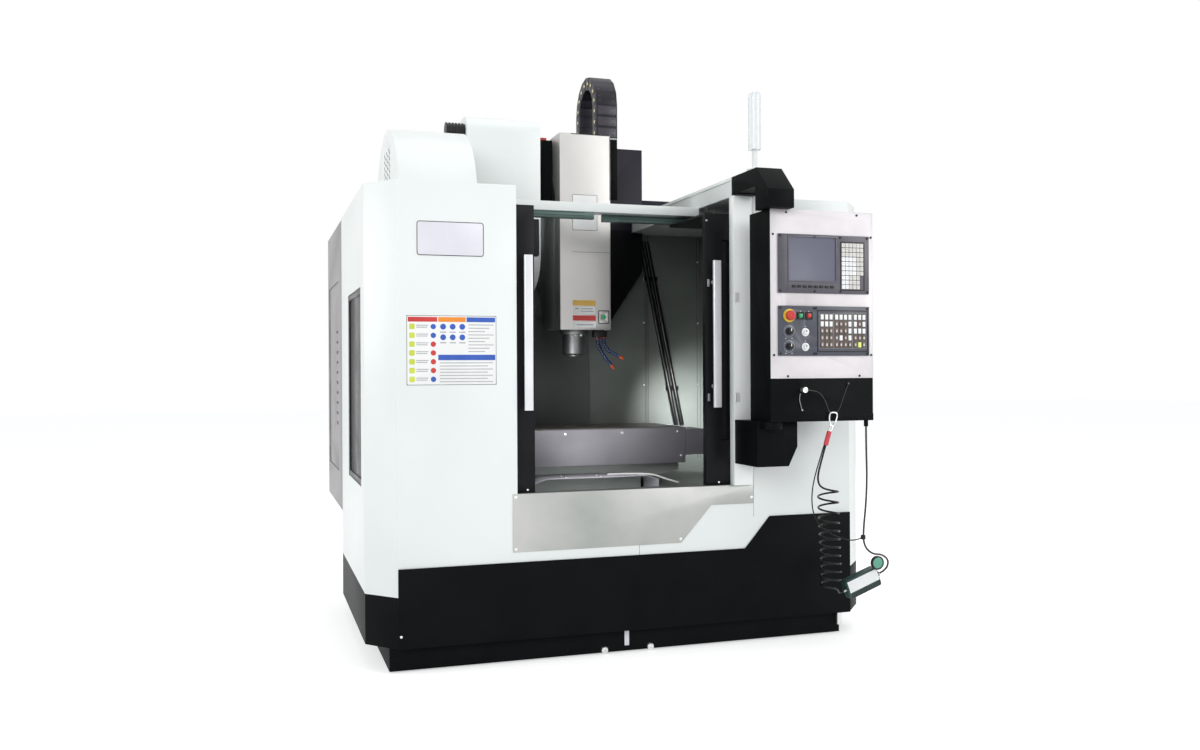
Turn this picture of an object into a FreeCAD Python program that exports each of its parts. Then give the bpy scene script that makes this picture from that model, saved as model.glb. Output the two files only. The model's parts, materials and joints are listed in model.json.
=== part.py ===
import FreeCAD, Part
import math
import os

# A vertical machining centre with an enclosed work area. Millimetres, +X to the right of the
# operator, +Y towards the back, +Z up, the floor at zero and the machine centred on the origin.

V = FreeCAD.Vector

# Overall envelope
half_width = 1110
front_y = -860
rear_y = 1200
cabinet_top = 1925
corner_x = 113
corner_y = 130
sheet = 3
clear = 0.3
fit = 0.1

# Door opening and post
opening_left = -520
opening_right = 427
post_width = 96
post_proud = 20
post_round = 19
post_step = 30
sill_z = 685

# Base
axis_x = -20
floor_gap = 6
foot_radius = 35
foot_height = 30
tank_left = -1027
tank_right = 966
tank_front = -820
tank_back = 480
tank_height = 100
tank_rim = 40
tank_wall = 10
foot_slot = 90
skirt_sheet = 6
skirt_bottom = 100
skirt_top = 411
skirt_high = 545
skirt_slope_left = 484
skirt_slope_right = 601
panel_bottom = 300
skirt_edge = 10
flange_deep = 22
seam_x = 0
apron_sheet = 3
apron_left = -540
apron_low = 451
apron_mid = 604
apron_bend_x = 187
apron_top_x = 326

# Bed, saddle and table
bed_half = 310
bed_front = -700
bed_back = 1060
bed_top = 560
bed_nose = 160
bed_slope = 110
bed_shoulder = 130
bed_gap = 20
foot_front = 170
foot_back = 60
foot_inset = 60
foot_pad_x = 60
foot_pad_y = 50
foot_neck = 8
rail_w = 34
rail_h = 28
y_rail_half = 230
y_rail_front = -585
y_rail_back = 430
saddle_half_y = 170
saddle_top = 740
saddle_wing = 480
saddle_wing_z = 662
saddle_wing_rise = 30
saddle_skirt = 36
runner = 18
runner_length = 110
runner_drop = 5
x_rail_half_y = 120
table_rest_x = 30
table_half = 450
table_half_y = 210
table_top = 906
table_slab = 70
block_half = 70
block_x = 140
block_y = 40
slot_w = 18
slot_wide = 32
slot_neck = 20
slot_foot = 14
slot_pitch = 125
guard_low = 735
guard_y = -262
guard_box = 106
guard_drop = 3
guard_end_drop = 12
guard_lift = 4
tray_z = 640
y_cover_half = 300
y_cover_top = 690
y_cover_length = 200
y_cover_low = 602
y_cover_slope = 60
y_cover_drop = 18
tray_step = 60
tray_corner = 40
tray_reach = 20

# Column and head
column_half = 330
column_front = 520
column_back = 1040
column_back_top = 900
pocket_rim = 60
pocket_deep = 30
column_top = 2150
z_rail_half = 150
z_rail_bottom = 1300
head_half = 90
head_wide = 116
head_low = 1385
head_neck_low = 1700
head_high = 1990
head_block_top = 1888
head_under_y = 200
head_front_taper = 110
head_rear_taper = 150
head_taper = 4
back_plate_y = 425
back_plate_half = 190
nut_half = 40
nut_height = 90
head_block = 80
screw_radius = 10
screw_mount_half = 70
screw_mount_front = 45
screw_mount_back = 90
drive_height = 160
drive_cap = 40
cover_left = -149
cover_right = 100
cover_front = -210
cover_low = 1373
cover_top = 2300
cover_deep_y = -38
cover_shallow_y = -125
cover_step_high = 2180
cover_step_low = 2015
plate_half = 27
release_inset = 37
release_rise = 61
shield_y = 400
shield_half = 490
shield_top = 2373
shield_low = 1450
shield_corner_z = 1716
shield_corner_x = 310
shield_bridge = 40
rib_thick = 6
nose_z = 1249
nose_top = 1357
nose_radius = 58.5
housing_deep = 60
nose_step = 8
nose_collar = 14
nose_chamfer = 6
spindle_radius = 40
taper_deep = 70
key_half = 8
motor_half = 88
motor_top = 2280
motor_chamfer = 14
motor_flange = 20
motor_lip = 6
motor_fan = 50
seat_thick = 6
seat_gap = 8
seat_web = 12
seat_half_y = 30
air_left = -205
air_right = -152
air_front = -90
air_back = 60
air_top = 2285
air_plate = 10
air_cap_radius = 20
air_cap_height = 24

# Energy chain
chain_left = 82
chain_right = 190
chain_front = -60
chain_rear = 280
chain_rise = 283
chain_height = 62
chain_wall = 8
chain_front_links = 3
chain_rear_links = 6
chain_arc_links = 8
chain_gap = 0.6
chain_pin = 8
chain_pin_proud = 1.5

# Roof, beam and rails
beam_y = -517
beam_low = 1885
beam_depth = 90
rail_low = 1852
rail_deep = 26
rail_step = 60
rail_end_gap = 150
left_rail_end = -80
right_rail_start = -20
hanger_width = 40
duct_right = 545
duct_top = 2006
duct_back = 390
duct_rim = 6
duct_rim_low = 16
duct_rim_high = 12
hood_slot_rows = 7
hood_slot_pitch = 27
hood_slot_low = 36
hood_slot_half = 26
hood_slot_thick = 4
hood_slot_spread = 74
hood_slot_shift = 20
hood_slot_tilt = 35
hood_seat = 20
hood_lap = 30
lamp_y = -980
lamp_radius = 27
lamp_foot = 34
lamp_foot_height = 14
lamp_pole = 11
lamp_low = 96
lamp_high = 340
lamp_round = 16
wall_hose_radius = 13
wall_hose_top = (510, 1880)
wall_hose_low = (714, 880)
hose_pitch = 34
clip_half = 38
clip_height = 12
lubricator_y = 600
lubricator_z = 880
lubricator_wide = 220
lubricator_high = 320
lubricator_plate = 6
tank_side = 120
tank_inset = 20
tank_tall = 160
pump_side = 104
pump_inset = 50
pump_top = 270
hood_left = -966
hood_right = -643
hood_radius = 400
hood_y = -310
hood_z = 1830
wall_y = 450
wall_top = 2110
wall_hole = 345
wall_step = 200
cover_stand = 20
cover_gap = 20
cover_half = 212

# Doors
door_front = -835
door_thick = 30
door_bar = 76
door_top = 1860
door_tuck_left = 67
door_tuck_right = 192
left_door_edge = -440
right_door_edge = 315
roof_sheet = 11
handle_low = 1020
handle_high = 1645
handle_width = 36
handle_off = 50
handle_thick = 14
handle_foot = 90
handle_foot_radius = 9
handle_inset = 35
block_reach = 30
block_deep = 40
block_bottom = 1650
block_head = 1800
window_sill = 190
window_head = 120
door_frame = 60
rebate = 10
pane_back = 12
pane_thick = 8

# Tool changer and magazine
changer_left = -580
changer_right = -230
changer_front = -160
changer_back = 250
changer_low = 1560
changer_top = 2370
changer_low_round = 180
changer_top_round = 70
port_left = 8
port_right = 100
port_low = 1700
port_top = 1850
drum_y = -100
drum_z = 2300
drum_radius = 36
drum_groove = 4
drum_ribs = 6
drum_pitch = 15
arm_x = -300
arm_y = -60
arm_z = 1185
arm_thick = 30
arm_reach = 286
arm_shaft_radius = 25
arm_hub = 46
arm_bar = 28
arm_jaw = 48
arm_grip = 31
arm_mouth = 12
shaft_reach = 60
neck_radius = 60
neck_low = 1262
park_angle = 75
carousel_y = -240
carousel_z = 1830
carousel_radius = 200
pot_count = 12
pot_radius = 33
pot_length = 95
disc_x = -890
disc_thick = 12
disc_rim = 20
hub_proud = 10
hub_back = 30
shoulder = 14
shelf_thick = 12
shelf_half = 70
shelf_depth = 160
shelf_arm = 40
taper_wide = 22
taper_narrow = 12
hub_radius = 45
axle_radius = 25

# Electrical cabinet
cab_right = -430
cab_front = 453
cab_low = 504
cab_top = 1920
cab_flange_y = 300
cab_door_low = 680
cab_door_top = 1640
cab_door_thick = 20
cab_inset = 6
cab_margin = 40
cab_frame = 60
cab_room = 330
cab_wall = 20
hinge_radius = 6
hinge_pin = 3
hinge_half = 20
hinge_ends = 130
tie_front = 600
tie_back = 700
tie_height = 60
tie_offset_low = 200
tie_offset_top = 300
vent_count = 10
vent_low = 910
vent_pitch = 52
vent_height = 14
vent_front = 560
vent_back = 700
latch_low = 1110
latch_high = 1230
latch_width = 36
latch_bar = 16

# Control pod
arm_left = 430
arm_right = 545
arm_front = -1200
arm_leg_back = -1083
arm_low = 1930
arm_nose_y = -1095
arm_nose_z = 1904
pod_left = 458
pod_right = 932
pod_front = -1157
pod_back = -960
pod_low = 966
pod_top = 1830
pod_face_low = 1143
ledge_proud = 3
face_sheet = 3
pivot_x = 488
pivot_y = -1110
pivot_radius = 20
pivot_length = 24
ear_width = 22
ear_drop = 30
bracket_chamfer_x = 40
bracket_chamfer_z = 80
arm_foot = 40
arm_seat = 22
bracket_right = 614
bracket_low = 780
bracket_front = -1090
unit_left = 490
unit_right = 910
unit_proud = 6
display_low = 1490
display_top = 1730
operator_low = 1235
operator_top = 1438
screen_left = 539
screen_right = 755
screen_low = 1541
screen_top = 1719
letter_keys = (780, 883, 1509, 1700)
letter_columns = 6
letter_rows = 10
short_rows = 3
soft_keys = (548, 748, 1508, 1526)
key_blocks = ((678, 740, 3), (745, 828, 4), (833, 894, 3))
block_low = 1266
block_top = 1408
block_rows = 5
letter_gap = 3
key_gap = 8
key_proud = 3
face_screw = 6
screw_inset = 20
screw_drop = 45
screw_clear = 28
screw_low = 22
screw_bottom = 24
estop_x = 538.5
estop_cap = 20
estop_height = 16
estop_round = 5
collar_radius = 27
collar_proud = 3
bezel_half = 12.5
bezel_proud = 3
cap_half = 7.5
cap_height = 7
button_z = 1398
start_x = 589
stop_x = 628
button_radius = 11
button_travel = 4
bore_depth = 16
feed_z = 1334
spindle_z = 1273
program_z = 1331
lock_z = 1271
dial_x = 536.5
key_x = 611
knob_radius = 15
knob_length = 20
key_length = 12
key_radius = 11
dial_plate = 24
dial_proud = 1.5
stem_radius = 5
peg_x = 600
peg_z = 1096
peg_radius = 9
peg_length = 26
ledge_height = 30
pod_round = 18

# Left side window
window_front = -605
window_back = -40
window_low = 710
window_top = 1525
window_lap = 18
window_thick = 14
guide = 12
guide_lip = 4
guide_front = 30
guide_back = 10
pane_border = 26
pane_sunk = 6
cup_low = 1084
cup_high = 1216
cup_deep = 11

# Hand-held pulse generator and its cords
pendant_x = 900
pendant_y = -1110
pendant_z = 283
pendant_length = 160
pendant_width = 82
pendant_thick = 52
pendant_tilt = 20
dial_radius = 30
wheel_off = 34
pendant_round = 10
selector_x = 46
selector_off = 20
selector_radius = 10
gland_length = 12
gland_radius = 9
cable_radius = 4
cable_route = [
    (915, -1130, 940),
    (915, -1130, 850),
    (918, -1131, 735),
    (912, -1132, 618),
    (899, -1131, 505),
    (903, -1127, 440),
    (948, -1119, 400),
    (1000, -1112, 396),
    (1036, -1110, 368),
]
cable_turn = (1022.2, -1110, 327.5)
tie_radius = 2.5
tie_route = [
    (708, -1153.5, 884),
    (689, -1145, 815),
    (668, -1139, 745),
    (650, -1143, 675),
    (646, -1153, 605),
    (664, -1164, 548),
    (706, -1170, 512),
    (758, -1169, 488),
    (818, -1162, 470),
    (868, -1149, 472),
]
tie_end = (893, -1134.5, 476)
hose_radius = 4
hose_start = (704, -1163, 868)
hose_bend = (668, -1152, 730)
coil_radius = 42
coil_axis = 744
coil_lean = 13
coil_top = 690
loose_turns = 3
loose_pitch = 45
tight_turns = 8.25
tight_pitch = 34


def box(x0, y0, z0, x1, y1, z1):
    return Part.makeBox(x1 - x0, y1 - y0, z1 - z0, V(x0, y0, z0))


def prism(points, direction):
    wire = Part.makePolygon(points + [points[0]])
    return Part.Face(wire).extrude(direction)


def plan(points, low, high):
    """An upright solid from (x, y) points."""
    return prism([V(x, y, low) for x, y in points], V(0, 0, high - low))


def front(points, y0, y1):
    """A solid of depth y0 to y1 from (x, z) points."""
    return prism([V(x, y0, z) for x, z in points], V(0, y1 - y0, 0))


def side(points, x0, x1):
    """A solid of width x0 to x1 from (y, z) points."""
    return prism([V(x0, y, z) for y, z in points], V(x1 - x0, 0, 0))


def rod(radius, start, end):
    axis = end - start
    return Part.makeCylinder(radius, axis.Length, start, axis)


def upright(radius, x, y, low, high):
    return rod(radius, V(x, y, low), V(x, y, high))


def fused(*shapes):
    return shapes[0].fuse(list(shapes[1:])).removeSplitter()


def upright_edges(shape, x=None, y=None):
    found = []
    for edge in shape.Edges:
        a, b = edge.Vertexes[0].Point, edge.Vertexes[-1].Point
        steep = abs(a.x - b.x) < 0.01 and abs(a.y - b.y) < 0.01
        if steep and (x is None or abs(a.x - x) < 0.01) and (y is None or abs(a.y - y) < 0.01):
            found.append(edge)
    return found


def save(name, shape):
    shape.exportStep("parts/" + name + ".step")


# Base and castings


def foot_places():
    """The plan points of the levelling feet."""
    places = []
    for s in (-1, 1):
        for y in (bed_front + foot_front, bed_back - foot_back):
            places.append((axis_x + s * (bed_half - foot_inset), y))
    return places


def bed():
    outline = [
        (bed_front, bed_shoulder),
        (bed_front, bed_top - bed_nose),
        (bed_front + bed_slope, bed_top),
        (bed_back, bed_top),
        (bed_back, foot_height + bed_gap),
        (bed_front + foot_back, foot_height + bed_gap),
    ]
    body = side(outline, axis_x - bed_half, axis_x + bed_half)
    for x, y in foot_places():
        body = body.fuse(box(x - foot_pad_x, y - foot_pad_y, foot_height,
                             x + foot_pad_x, y + foot_pad_y, foot_height + foot_pad_y))
    return body.removeSplitter()


def levelling_feet():
    feet = []
    for x, y in foot_places():
        pad = upright(foot_radius, x, y, 0, foot_height - foot_neck)
        stem = upright(foot_radius / 2, x, y, foot_height - foot_neck, foot_height)
        feet.append(fused(pad, stem))
    return Part.makeCompound(feet)


def column():
    outline = [
        (column_front, bed_top),
        (column_front, column_top),
        (column_back_top, column_top),
        (column_back, bed_top + 300),
        (column_back, bed_top),
    ]
    body = side(outline, axis_x - column_half, axis_x + column_half)
    inner = [
        (column_front + pocket_rim, bed_top + pocket_rim),
        (column_front + pocket_rim, column_top - pocket_rim),
        (column_back_top - pocket_rim, column_top - pocket_rim),
        (column_back - pocket_rim, bed_top + 300 + pocket_rim),
        (column_back - pocket_rim, bed_top + pocket_rim),
    ]
    pocket = side(inner, axis_x - column_half, axis_x - column_half + pocket_deep)
    body = body.cut(pocket)
    pocket.translate(V(2 * column_half - pocket_deep, 0, 0))
    return body.cut(pocket)


def way_rails():
    rails = []
    for s in (-1, 1):
        x = axis_x + s * y_rail_half
        rails.append(box(x - rail_w / 2, y_rail_front, bed_top,
                         x + rail_w / 2, y_rail_back, bed_top + rail_h))
        x = axis_x + s * z_rail_half
        rails.append(box(x - rail_w / 2, column_front - rail_h, z_rail_bottom,
                         x + rail_w / 2, column_front, column_top - 10))
    return Part.makeCompound(rails)


def screw_y():
    """The feed screw stands just behind the faces of the guide rails."""
    return column_front - rail_h / 2 - 2


def z_drive():
    y = screw_y()
    plate_top = column_top + motor_flange
    screw = upright(screw_radius, axis_x, y, z_rail_bottom, column_top)
    mount = box(axis_x - screw_mount_half, y - screw_mount_front, column_top,
                axis_x + screw_mount_half, column_front + screw_mount_back, plate_top)
    motor = box(axis_x - screw_mount_half + 10, y - 43, plate_top,
                axis_x + screw_mount_half - 10, y + 77, column_top + drive_height)
    cap = upright(screw_mount_half - 25, axis_x, y + 17, column_top + drive_height,
                  column_top + drive_height + drive_cap)
    return fused(screw, mount, motor, cap)


def saddle():
    low = bed_top + rail_h + clear
    foot = y_rail_half + rail_w / 2 + saddle_skirt
    body = box(axis_x - foot, -saddle_half_y, low, axis_x + foot, saddle_half_y, saddle_top)
    outline = [
        (-saddle_wing, saddle_top),
        (-saddle_wing, saddle_wing_z + saddle_wing_rise),
        (-foot - bed_gap, saddle_wing_z),
        (foot + bed_gap, saddle_wing_z),
        (saddle_wing, saddle_wing_z + saddle_wing_rise),
        (saddle_wing, saddle_top),
    ]
    wings = front(outline, -saddle_half_y, saddle_half_y)
    wings.translate(V(axis_x, 0, 0))
    parts = [fused(body, wings)]
    for s in (-1, 1):
        x = axis_x + s * y_rail_half
        for cheek in (-1, 1):
            near = x + cheek * (rail_w / 2 + clear)
            far = near + cheek * runner
            for y in (-saddle_half_y, saddle_half_y - runner_length):
                parts.append(box(min(near, far), y, bed_top + runner_drop,
                                 max(near, far), y + runner_length, low))
        y = s * x_rail_half_y
        parts.append(box(axis_x - saddle_wing, y - rail_w / 2, saddle_top,
                         axis_x + saddle_wing, y + rail_w / 2, saddle_top + rail_h))
    return fused(*parts)


def t_slot(y):
    x0 = axis_x + table_rest_x - table_half - 1
    x1 = axis_x + table_rest_x + table_half + 1
    neck_low = table_top - slot_neck
    neck = box(x0, y - slot_w / 2, neck_low - 1, x1, y + slot_w / 2, table_top + 1)
    foot = box(x0, y - slot_wide / 2, neck_low - slot_foot, x1, y + slot_wide / 2, neck_low)
    return neck.fuse(foot)


def table():
    x = axis_x + table_rest_x
    low = saddle_top + rail_h + clear
    under = table_top - table_slab
    body = box(x - table_half, -table_half_y, under, x + table_half, table_half_y, table_top)
    for y in (-slot_pitch, 0, slot_pitch):
        body = body.cut(t_slot(y))
    parts = [body]
    for s in (-1, 1):
        for y in (-x_rail_half_y, x_rail_half_y):
            x0 = x + s * block_x - block_half
            x1 = x0 + 2 * block_half
            block = box(x0, y - block_y, low, x1, y + block_y, under)
            lips = box(x0, y - block_y, saddle_top + runner_drop, x1, y + block_y, low)
            groove = box(x0, y - rail_w / 2 - clear, saddle_top, x1, y + rail_w / 2 + clear, low)
            parts.append(block.fuse(lips.cut(groove)))
    return fused(*parts)


def table_guard():
    x = axis_x + table_rest_x
    left = x - table_half
    right = x + table_half
    top = table_top - guard_drop
    plate = box(left, guard_y, guard_low, right, guard_y + sheet, top)
    lip = box(left, guard_y, top - sheet, right, -table_half_y, top)
    low = saddle_top + rail_h + guard_lift
    end_top = table_top - guard_end_drop
    walls = box(right, guard_y, low, right + guard_box, table_half_y, end_top)
    inner = box(right + sheet, guard_y + sheet, low + sheet,
                right + guard_box - sheet, table_half_y - sheet, end_top + 1)
    return fused(plate, lip, walls.cut(inner))


def y_cover():
    shoulder_z = y_cover_top - y_cover_drop
    ridge = y_cover_half - y_cover_slope
    edge = y_cover_half - sheet
    shape = [
        (-y_cover_half, y_cover_low),
        (-y_cover_half, shoulder_z),
        (-ridge, y_cover_top),
        (ridge, y_cover_top),
        (y_cover_half, shoulder_z),
        (y_cover_half, y_cover_low),
    ]
    inner = [
        (-edge, y_cover_low),
        (-edge, shoulder_z - sheet),
        (-ridge, y_cover_top - sheet),
        (ridge, y_cover_top - sheet),
        (edge, shoulder_z - sheet),
        (edge, y_cover_low),
    ]
    start = -saddle_half_y - y_cover_length
    solid = front(shape, start, -saddle_half_y)
    hollow = front(inner, start - 1, -saddle_half_y + 1)
    cover = solid.cut(hollow)
    cover.translate(V(axis_x, 0, 0))
    return cover


def chip_tray():
    edge = half_width - sheet
    front_in = front_y + sheet
    step = front_in + tray_step
    low = tray_z - sheet
    hole_front = y_rail_front - floor_gap
    floor = box(-edge, step, low, edge, wall_y, tray_z)
    corner = plan([(-edge - 1, step - 1), (-edge - 1, front_y + corner_y + tray_corner),
                   (-edge + corner_x, step - 1)], low - 1, tray_z + 1)
    mirror = corner.mirror(V(0, 0, 0), V(1, 0, 0))
    hole_half = y_cover_half + clear
    hole = box(axis_x - hole_half, hole_front, low - 1, axis_x + hole_half, wall_y + 1, tray_z + 1)
    floor = floor.cut([corner, mirror, hole])
    riser = box(opening_left, step, low, opening_right, step + sheet, sill_z)
    ledge = box(opening_left, front_in, sill_z - sheet, opening_right, step + sheet, sill_z)
    legs = []
    for s in (-1, 1):
        x = axis_x + s * (bed_half + 2)
        foot_y = bed_front + bed_slope + runner_drop
        foot_x = x - s * tray_reach
        wall_x = x + s * sheet
        rim_x = axis_x + s * (hole_half + guard_lift)
        legs.append(box(min(x, foot_x), foot_y, bed_top, max(x, foot_x), wall_y, bed_top + sheet))
        legs.append(box(min(x, wall_x), foot_y, bed_top, max(x, wall_x), wall_y, tray_z))
        legs.append(box(min(x, rim_x), hole_front, low, max(x, rim_x), wall_y, tray_z))
    return fused(floor, riser, ledge, *legs)


def coolant_tank():
    outer = box(tank_left, tank_front, floor_gap, tank_right, tank_back, tank_height)
    cuts = []
    for s in (-1, 1):
        x = axis_x + s * (bed_half - foot_inset)
        cuts.append(box(x - foot_slot, bed_front + foot_slot, 0,
                        x + foot_slot, tank_back + 1, tank_height + 1))
    rim = bed_half + tank_rim
    low = floor_gap + sheet
    cuts.append(box(tank_left + sheet, tank_front + sheet, low,
                    axis_x - rim, tank_back - sheet, tank_height + 1))
    cuts.append(box(axis_x + rim, tank_front + sheet, low,
                    tank_right - sheet, tank_back - sheet, tank_height + 1))
    cuts.append(box(axis_x - rim + tank_wall, bed_front - tank_wall, tank_height - foot_inset,
                    axis_x + rim - tank_wall, tank_back + 1, tank_height + 1))
    return outer.cut(cuts).removeSplitter()


# Enclosure


def corner_path(sign, inset):
    """Plan points of a front corner, from the flat front round to the side, at an inset."""
    bend = inset * math.tan(math.atan2(corner_y, corner_x) / 2)
    return [
        (sign * (half_width - corner_x - bend), front_y + inset),
        (sign * (half_width - inset), front_y + corner_y),
    ]


def corner_panel(sign, inner_x, low, high):
    outer = corner_path(sign, 0)
    inner = corner_path(sign, sheet)
    points = [(inner_x, front_y)] + outer + inner[::-1] + [(inner_x, front_y + sheet)]
    return plan(points, low, high)


def left_front_panel():
    tall = corner_panel(-1, opening_left, panel_bottom, cabinet_top)
    low = box(opening_left, front_y, panel_bottom, seam_x, front_y + sheet, sill_z - sheet)
    flange = box(opening_left - sheet, front_y, sill_z,
                 opening_left, front_y + flange_deep, cabinet_top - sheet)
    return fused(tall, low, flange)


def right_front_panel():
    inner_x = opening_right + post_width
    tall = corner_panel(1, inner_x, panel_bottom, cabinet_top)
    low = box(seam_x, front_y, panel_bottom, inner_x, front_y + sheet, sill_z - sheet)
    return fused(tall, low)


def door_post():
    y0 = front_y - post_proud
    right = opening_right + post_width
    back_right = right - post_step
    back_y = front_y + flange_deep
    outer = box(opening_right, y0, sill_z, right, front_y, cabinet_top)
    outer = outer.makeFillet(post_round, upright_edges(outer, right, y0))
    back = box(opening_right, front_y, sill_z, back_right, back_y, cabinet_top)
    hollow = box(opening_right + sheet, y0 + sheet, sill_z - 1,
                 back_right - sheet, back_y - sheet, cabinet_top + 1)
    return fused(outer, back).cut(hollow)


def side_panels():
    x0 = -half_width + sheet
    left = box(-half_width, front_y + corner_y, panel_bottom, x0, cab_flange_y, cabinet_top)
    hole = box(-half_width - 1, window_front, window_low, x0 + 1, window_back, window_top)
    left = left.cut(hole)
    deep = x0 + window_thick + 2 * clear
    start = window_front - guide_front
    end = cab_flange_y - guide_back
    for s, z in ((-1, window_low - window_lap), (1, window_top + window_lap)):
        near = z + s * clear
        far = near + s * guide
        rim = z - s * guide
        left = left.fuse([
            box(x0, start, min(near, far), deep, end, max(near, far)),
            box(deep, start, min(rim, far), deep + guide_lip, end, max(rim, far)),
        ])
    right = box(half_width - sheet, front_y + corner_y, panel_bottom,
                half_width, wall_y + sheet, cabinet_top)
    return Part.makeCompound([left.removeSplitter(), right])


def side_window():
    x1 = -half_width + sheet + clear
    x2 = x1 + window_thick
    pane = box(x1, window_front - window_lap, window_low - window_lap,
               x2, window_back + window_lap, window_top + window_lap)
    glass = box(x1 - 1, window_front + pane_border, window_low + pane_border,
                x1 + pane_sunk, window_back - pane_border, window_top - pane_border)
    cup_y = window_front + sheet
    cup = box(x1 - 1, cup_y, cup_low, x1 + cup_deep, cup_y + 20, cup_high)
    grip = box(x1 - sheet, cup_y + 5, cup_low, x1 + 2, cup_y + 15, cup_high)
    return fused(pane.cut([glass, cup]), grip)


def front_skirt():
    left = -half_width + corner_x
    right = half_width - corner_x
    outline = [
        (left, skirt_bottom),
        (right, skirt_bottom),
        (right, skirt_high),
        (skirt_slope_right, skirt_high),
        (skirt_slope_left, skirt_top),
        (left, skirt_top),
    ]
    face = front(outline, front_y - skirt_sheet, front_y)
    shelf = box(left + skirt_edge, front_y, skirt_bottom,
                right - skirt_edge, tank_front, skirt_bottom + sheet)
    return fused(face, shelf)


def side_skirts():
    shells = []
    for sign, back in ((-1, cab_flange_y), (1, wall_y + sheet)):
        skin = corner_path(sign, 0)
        deep = corner_path(sign, sheet * 2)
        edge = sign * (half_width - sheet * 2)
        points = skin + [(sign * half_width, back), (edge, back)] + deep[::-1]
        shells.append(plan(points, skirt_bottom, panel_bottom))
    return Part.makeCompound(shells)


def apron():
    points = [
        (apron_left, sill_z),
        (opening_right + post_width, sill_z),
        (opening_right + post_width, apron_mid),
        (apron_top_x, apron_mid),
        (apron_bend_x, apron_low),
        (apron_left, apron_low),
    ]
    return front(points, front_y - apron_sheet, front_y)


def top_beam():
    beam = box(opening_left, beam_y, beam_low, opening_right, beam_y + beam_depth, cabinet_top)
    return Part.makeCompound([beam] + door_rails())


def door_rails():
    """The two rails that the doors hang on, each with the hanger at its outer end."""
    rails = []
    wall = half_width - rail_end_gap
    for x0, x1, y, hanger in ((-wall, left_rail_end, beam_y, -wall),
                              (right_rail_start, wall, beam_y + rail_step, wall - hanger_width)):
        rail = box(x0, y, rail_low, x1, y + rail_deep, beam_low)
        hook = box(hanger, y, beam_low, hanger + hanger_width, y + rail_deep, cabinet_top - sheet)
        rails.append(rail.fuse(hook))
    return rails


def hood_outline(radius, low):
    """A circular segment above a level, closed by its chord, in the plane of Y and Z."""
    rise = low - hood_z
    half = math.sqrt(radius * radius - rise * rise)
    arc = Part.Arc(V(0, hood_y - half, low), V(0, hood_y, hood_z + radius), V(0, hood_y + half, low))
    chord = Part.LineSegment(V(0, hood_y + half, low), V(0, hood_y - half, low))
    return Part.Face(Part.Wire([arc.toShape(), chord.toShape()]))


def roof_panels():
    low = cabinet_top - sheet
    top = cabinet_top + 1
    edge = half_width - sheet
    y0 = front_y + sheet
    back_y = front_y + flange_deep
    shield_notch = box(-shield_half - 2, shield_y - duct_rim, low - 1, shield_half + 2, wall_y + 1, top)
    rise = cabinet_top - hood_z
    half = math.sqrt(hood_radius ** 2 - rise ** 2) - hood_lap
    hole = box(hood_left + hood_seat, hood_y - half, low - 1, hood_right - hood_seat, hood_y + half, top)
    changer_notch = box(changer_left, changer_front, low - 1, opening_left + 1, wall_y + 1, top)
    post_seat = box(opening_right - 1, y0 - 1, low - 1, opening_right + post_width - post_step, back_y, top)
    sides = []
    for s, inner_x, cuts in ((-1, opening_left, [hole, changer_notch]),
                             (1, opening_right, [shield_notch, post_seat])):
        points = corner_path(s, sheet) + [(s * edge, wall_y), (inner_x, wall_y), (inner_x, y0)]
        sides.append(plan(points, low, cabinet_top).cut(cuts))
    return Part.makeCompound(sides + [roof_duct()])


def roof_duct():
    outer = box(opening_right, front_y, cabinet_top, duct_right, duct_back, duct_top)
    inner = box(opening_right + sheet, front_y + sheet, cabinet_top - 1,
                duct_right - sheet, duct_back + 1, duct_top - sheet)
    rim = box(opening_right - duct_rim, front_y, duct_top - duct_rim_low,
              opening_right, duct_back, duct_top - duct_rim_high)
    return fused(outer.cut(inner), rim)


def splash_walls():
    edge = half_width - sheet
    back = wall_y + sheet
    roof = cabinet_top - sheet
    gap_z = shield_low - cover_gap
    left = fused(
        box(-edge, wall_y, tray_z, axis_x - wall_hole, back, roof),
        box(axis_x - wall_hole, wall_y, tray_z, axis_x - cover_half, back, gap_z))
    right = fused(
        box(axis_x + wall_hole, wall_y, tray_z, edge, back, roof),
        box(axis_x + cover_half, wall_y, tray_z, axis_x + wall_hole, back, gap_z),
        box(axis_x + wall_hole, wall_y, roof, edge - wall_step, back, wall_top))
    cover_y = wall_y - cover_stand
    cover_low_z = y_cover_top + cover_gap
    cover = box(axis_x - cover_half, cover_y, cover_low_z,
                axis_x + cover_half, cover_y + sheet, shield_low - 2)
    for s in (-1, 1):
        x = axis_x + s * cover_half
        inner_x = x - s * sheet
        cover = cover.fuse(box(min(x, inner_x), cover_y, cover_low_z,
                               max(x, inner_x), column_front, z_rail_bottom - cover_gap))
    return Part.makeCompound([left, right, cover.removeSplitter()])


def column_shield():
    outline = [
        (-shield_half, shield_top),
        (-shield_half, shield_corner_z),
        (-shield_corner_x, shield_low),
        (shield_corner_x, shield_low),
        (shield_half, shield_corner_z),
        (shield_half, shield_top),
    ]
    back = shield_y + sheet
    plate = front(outline, shield_y, back)
    reach = head_half + 5
    slot = box(axis_x - reach, shield_y - 1, shield_low - 1,
               axis_x + reach, back + 1, shield_top - shield_bridge)
    left, low, right, top = changer_port()
    port = box(left, shield_y - 1, low, right, column_front + 1, top)
    ribs = []
    for s in (-1, 1):
        x = axis_x + s * (column_half - pocket_deep)
        rib_x = x + s * rib_thick
        ribs.append(box(min(x, rib_x), back, shield_low + cover_gap,
                        max(x, rib_x), column_front, column_top))
    seat_top = chain_rear_end()
    seat = box(chain_left, chain_rear - chain_height, seat_top - seat_thick,
               chain_right, shield_y, seat_top)
    return fused(plate.cut(slot), seat, *ribs).cut(port)


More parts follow.
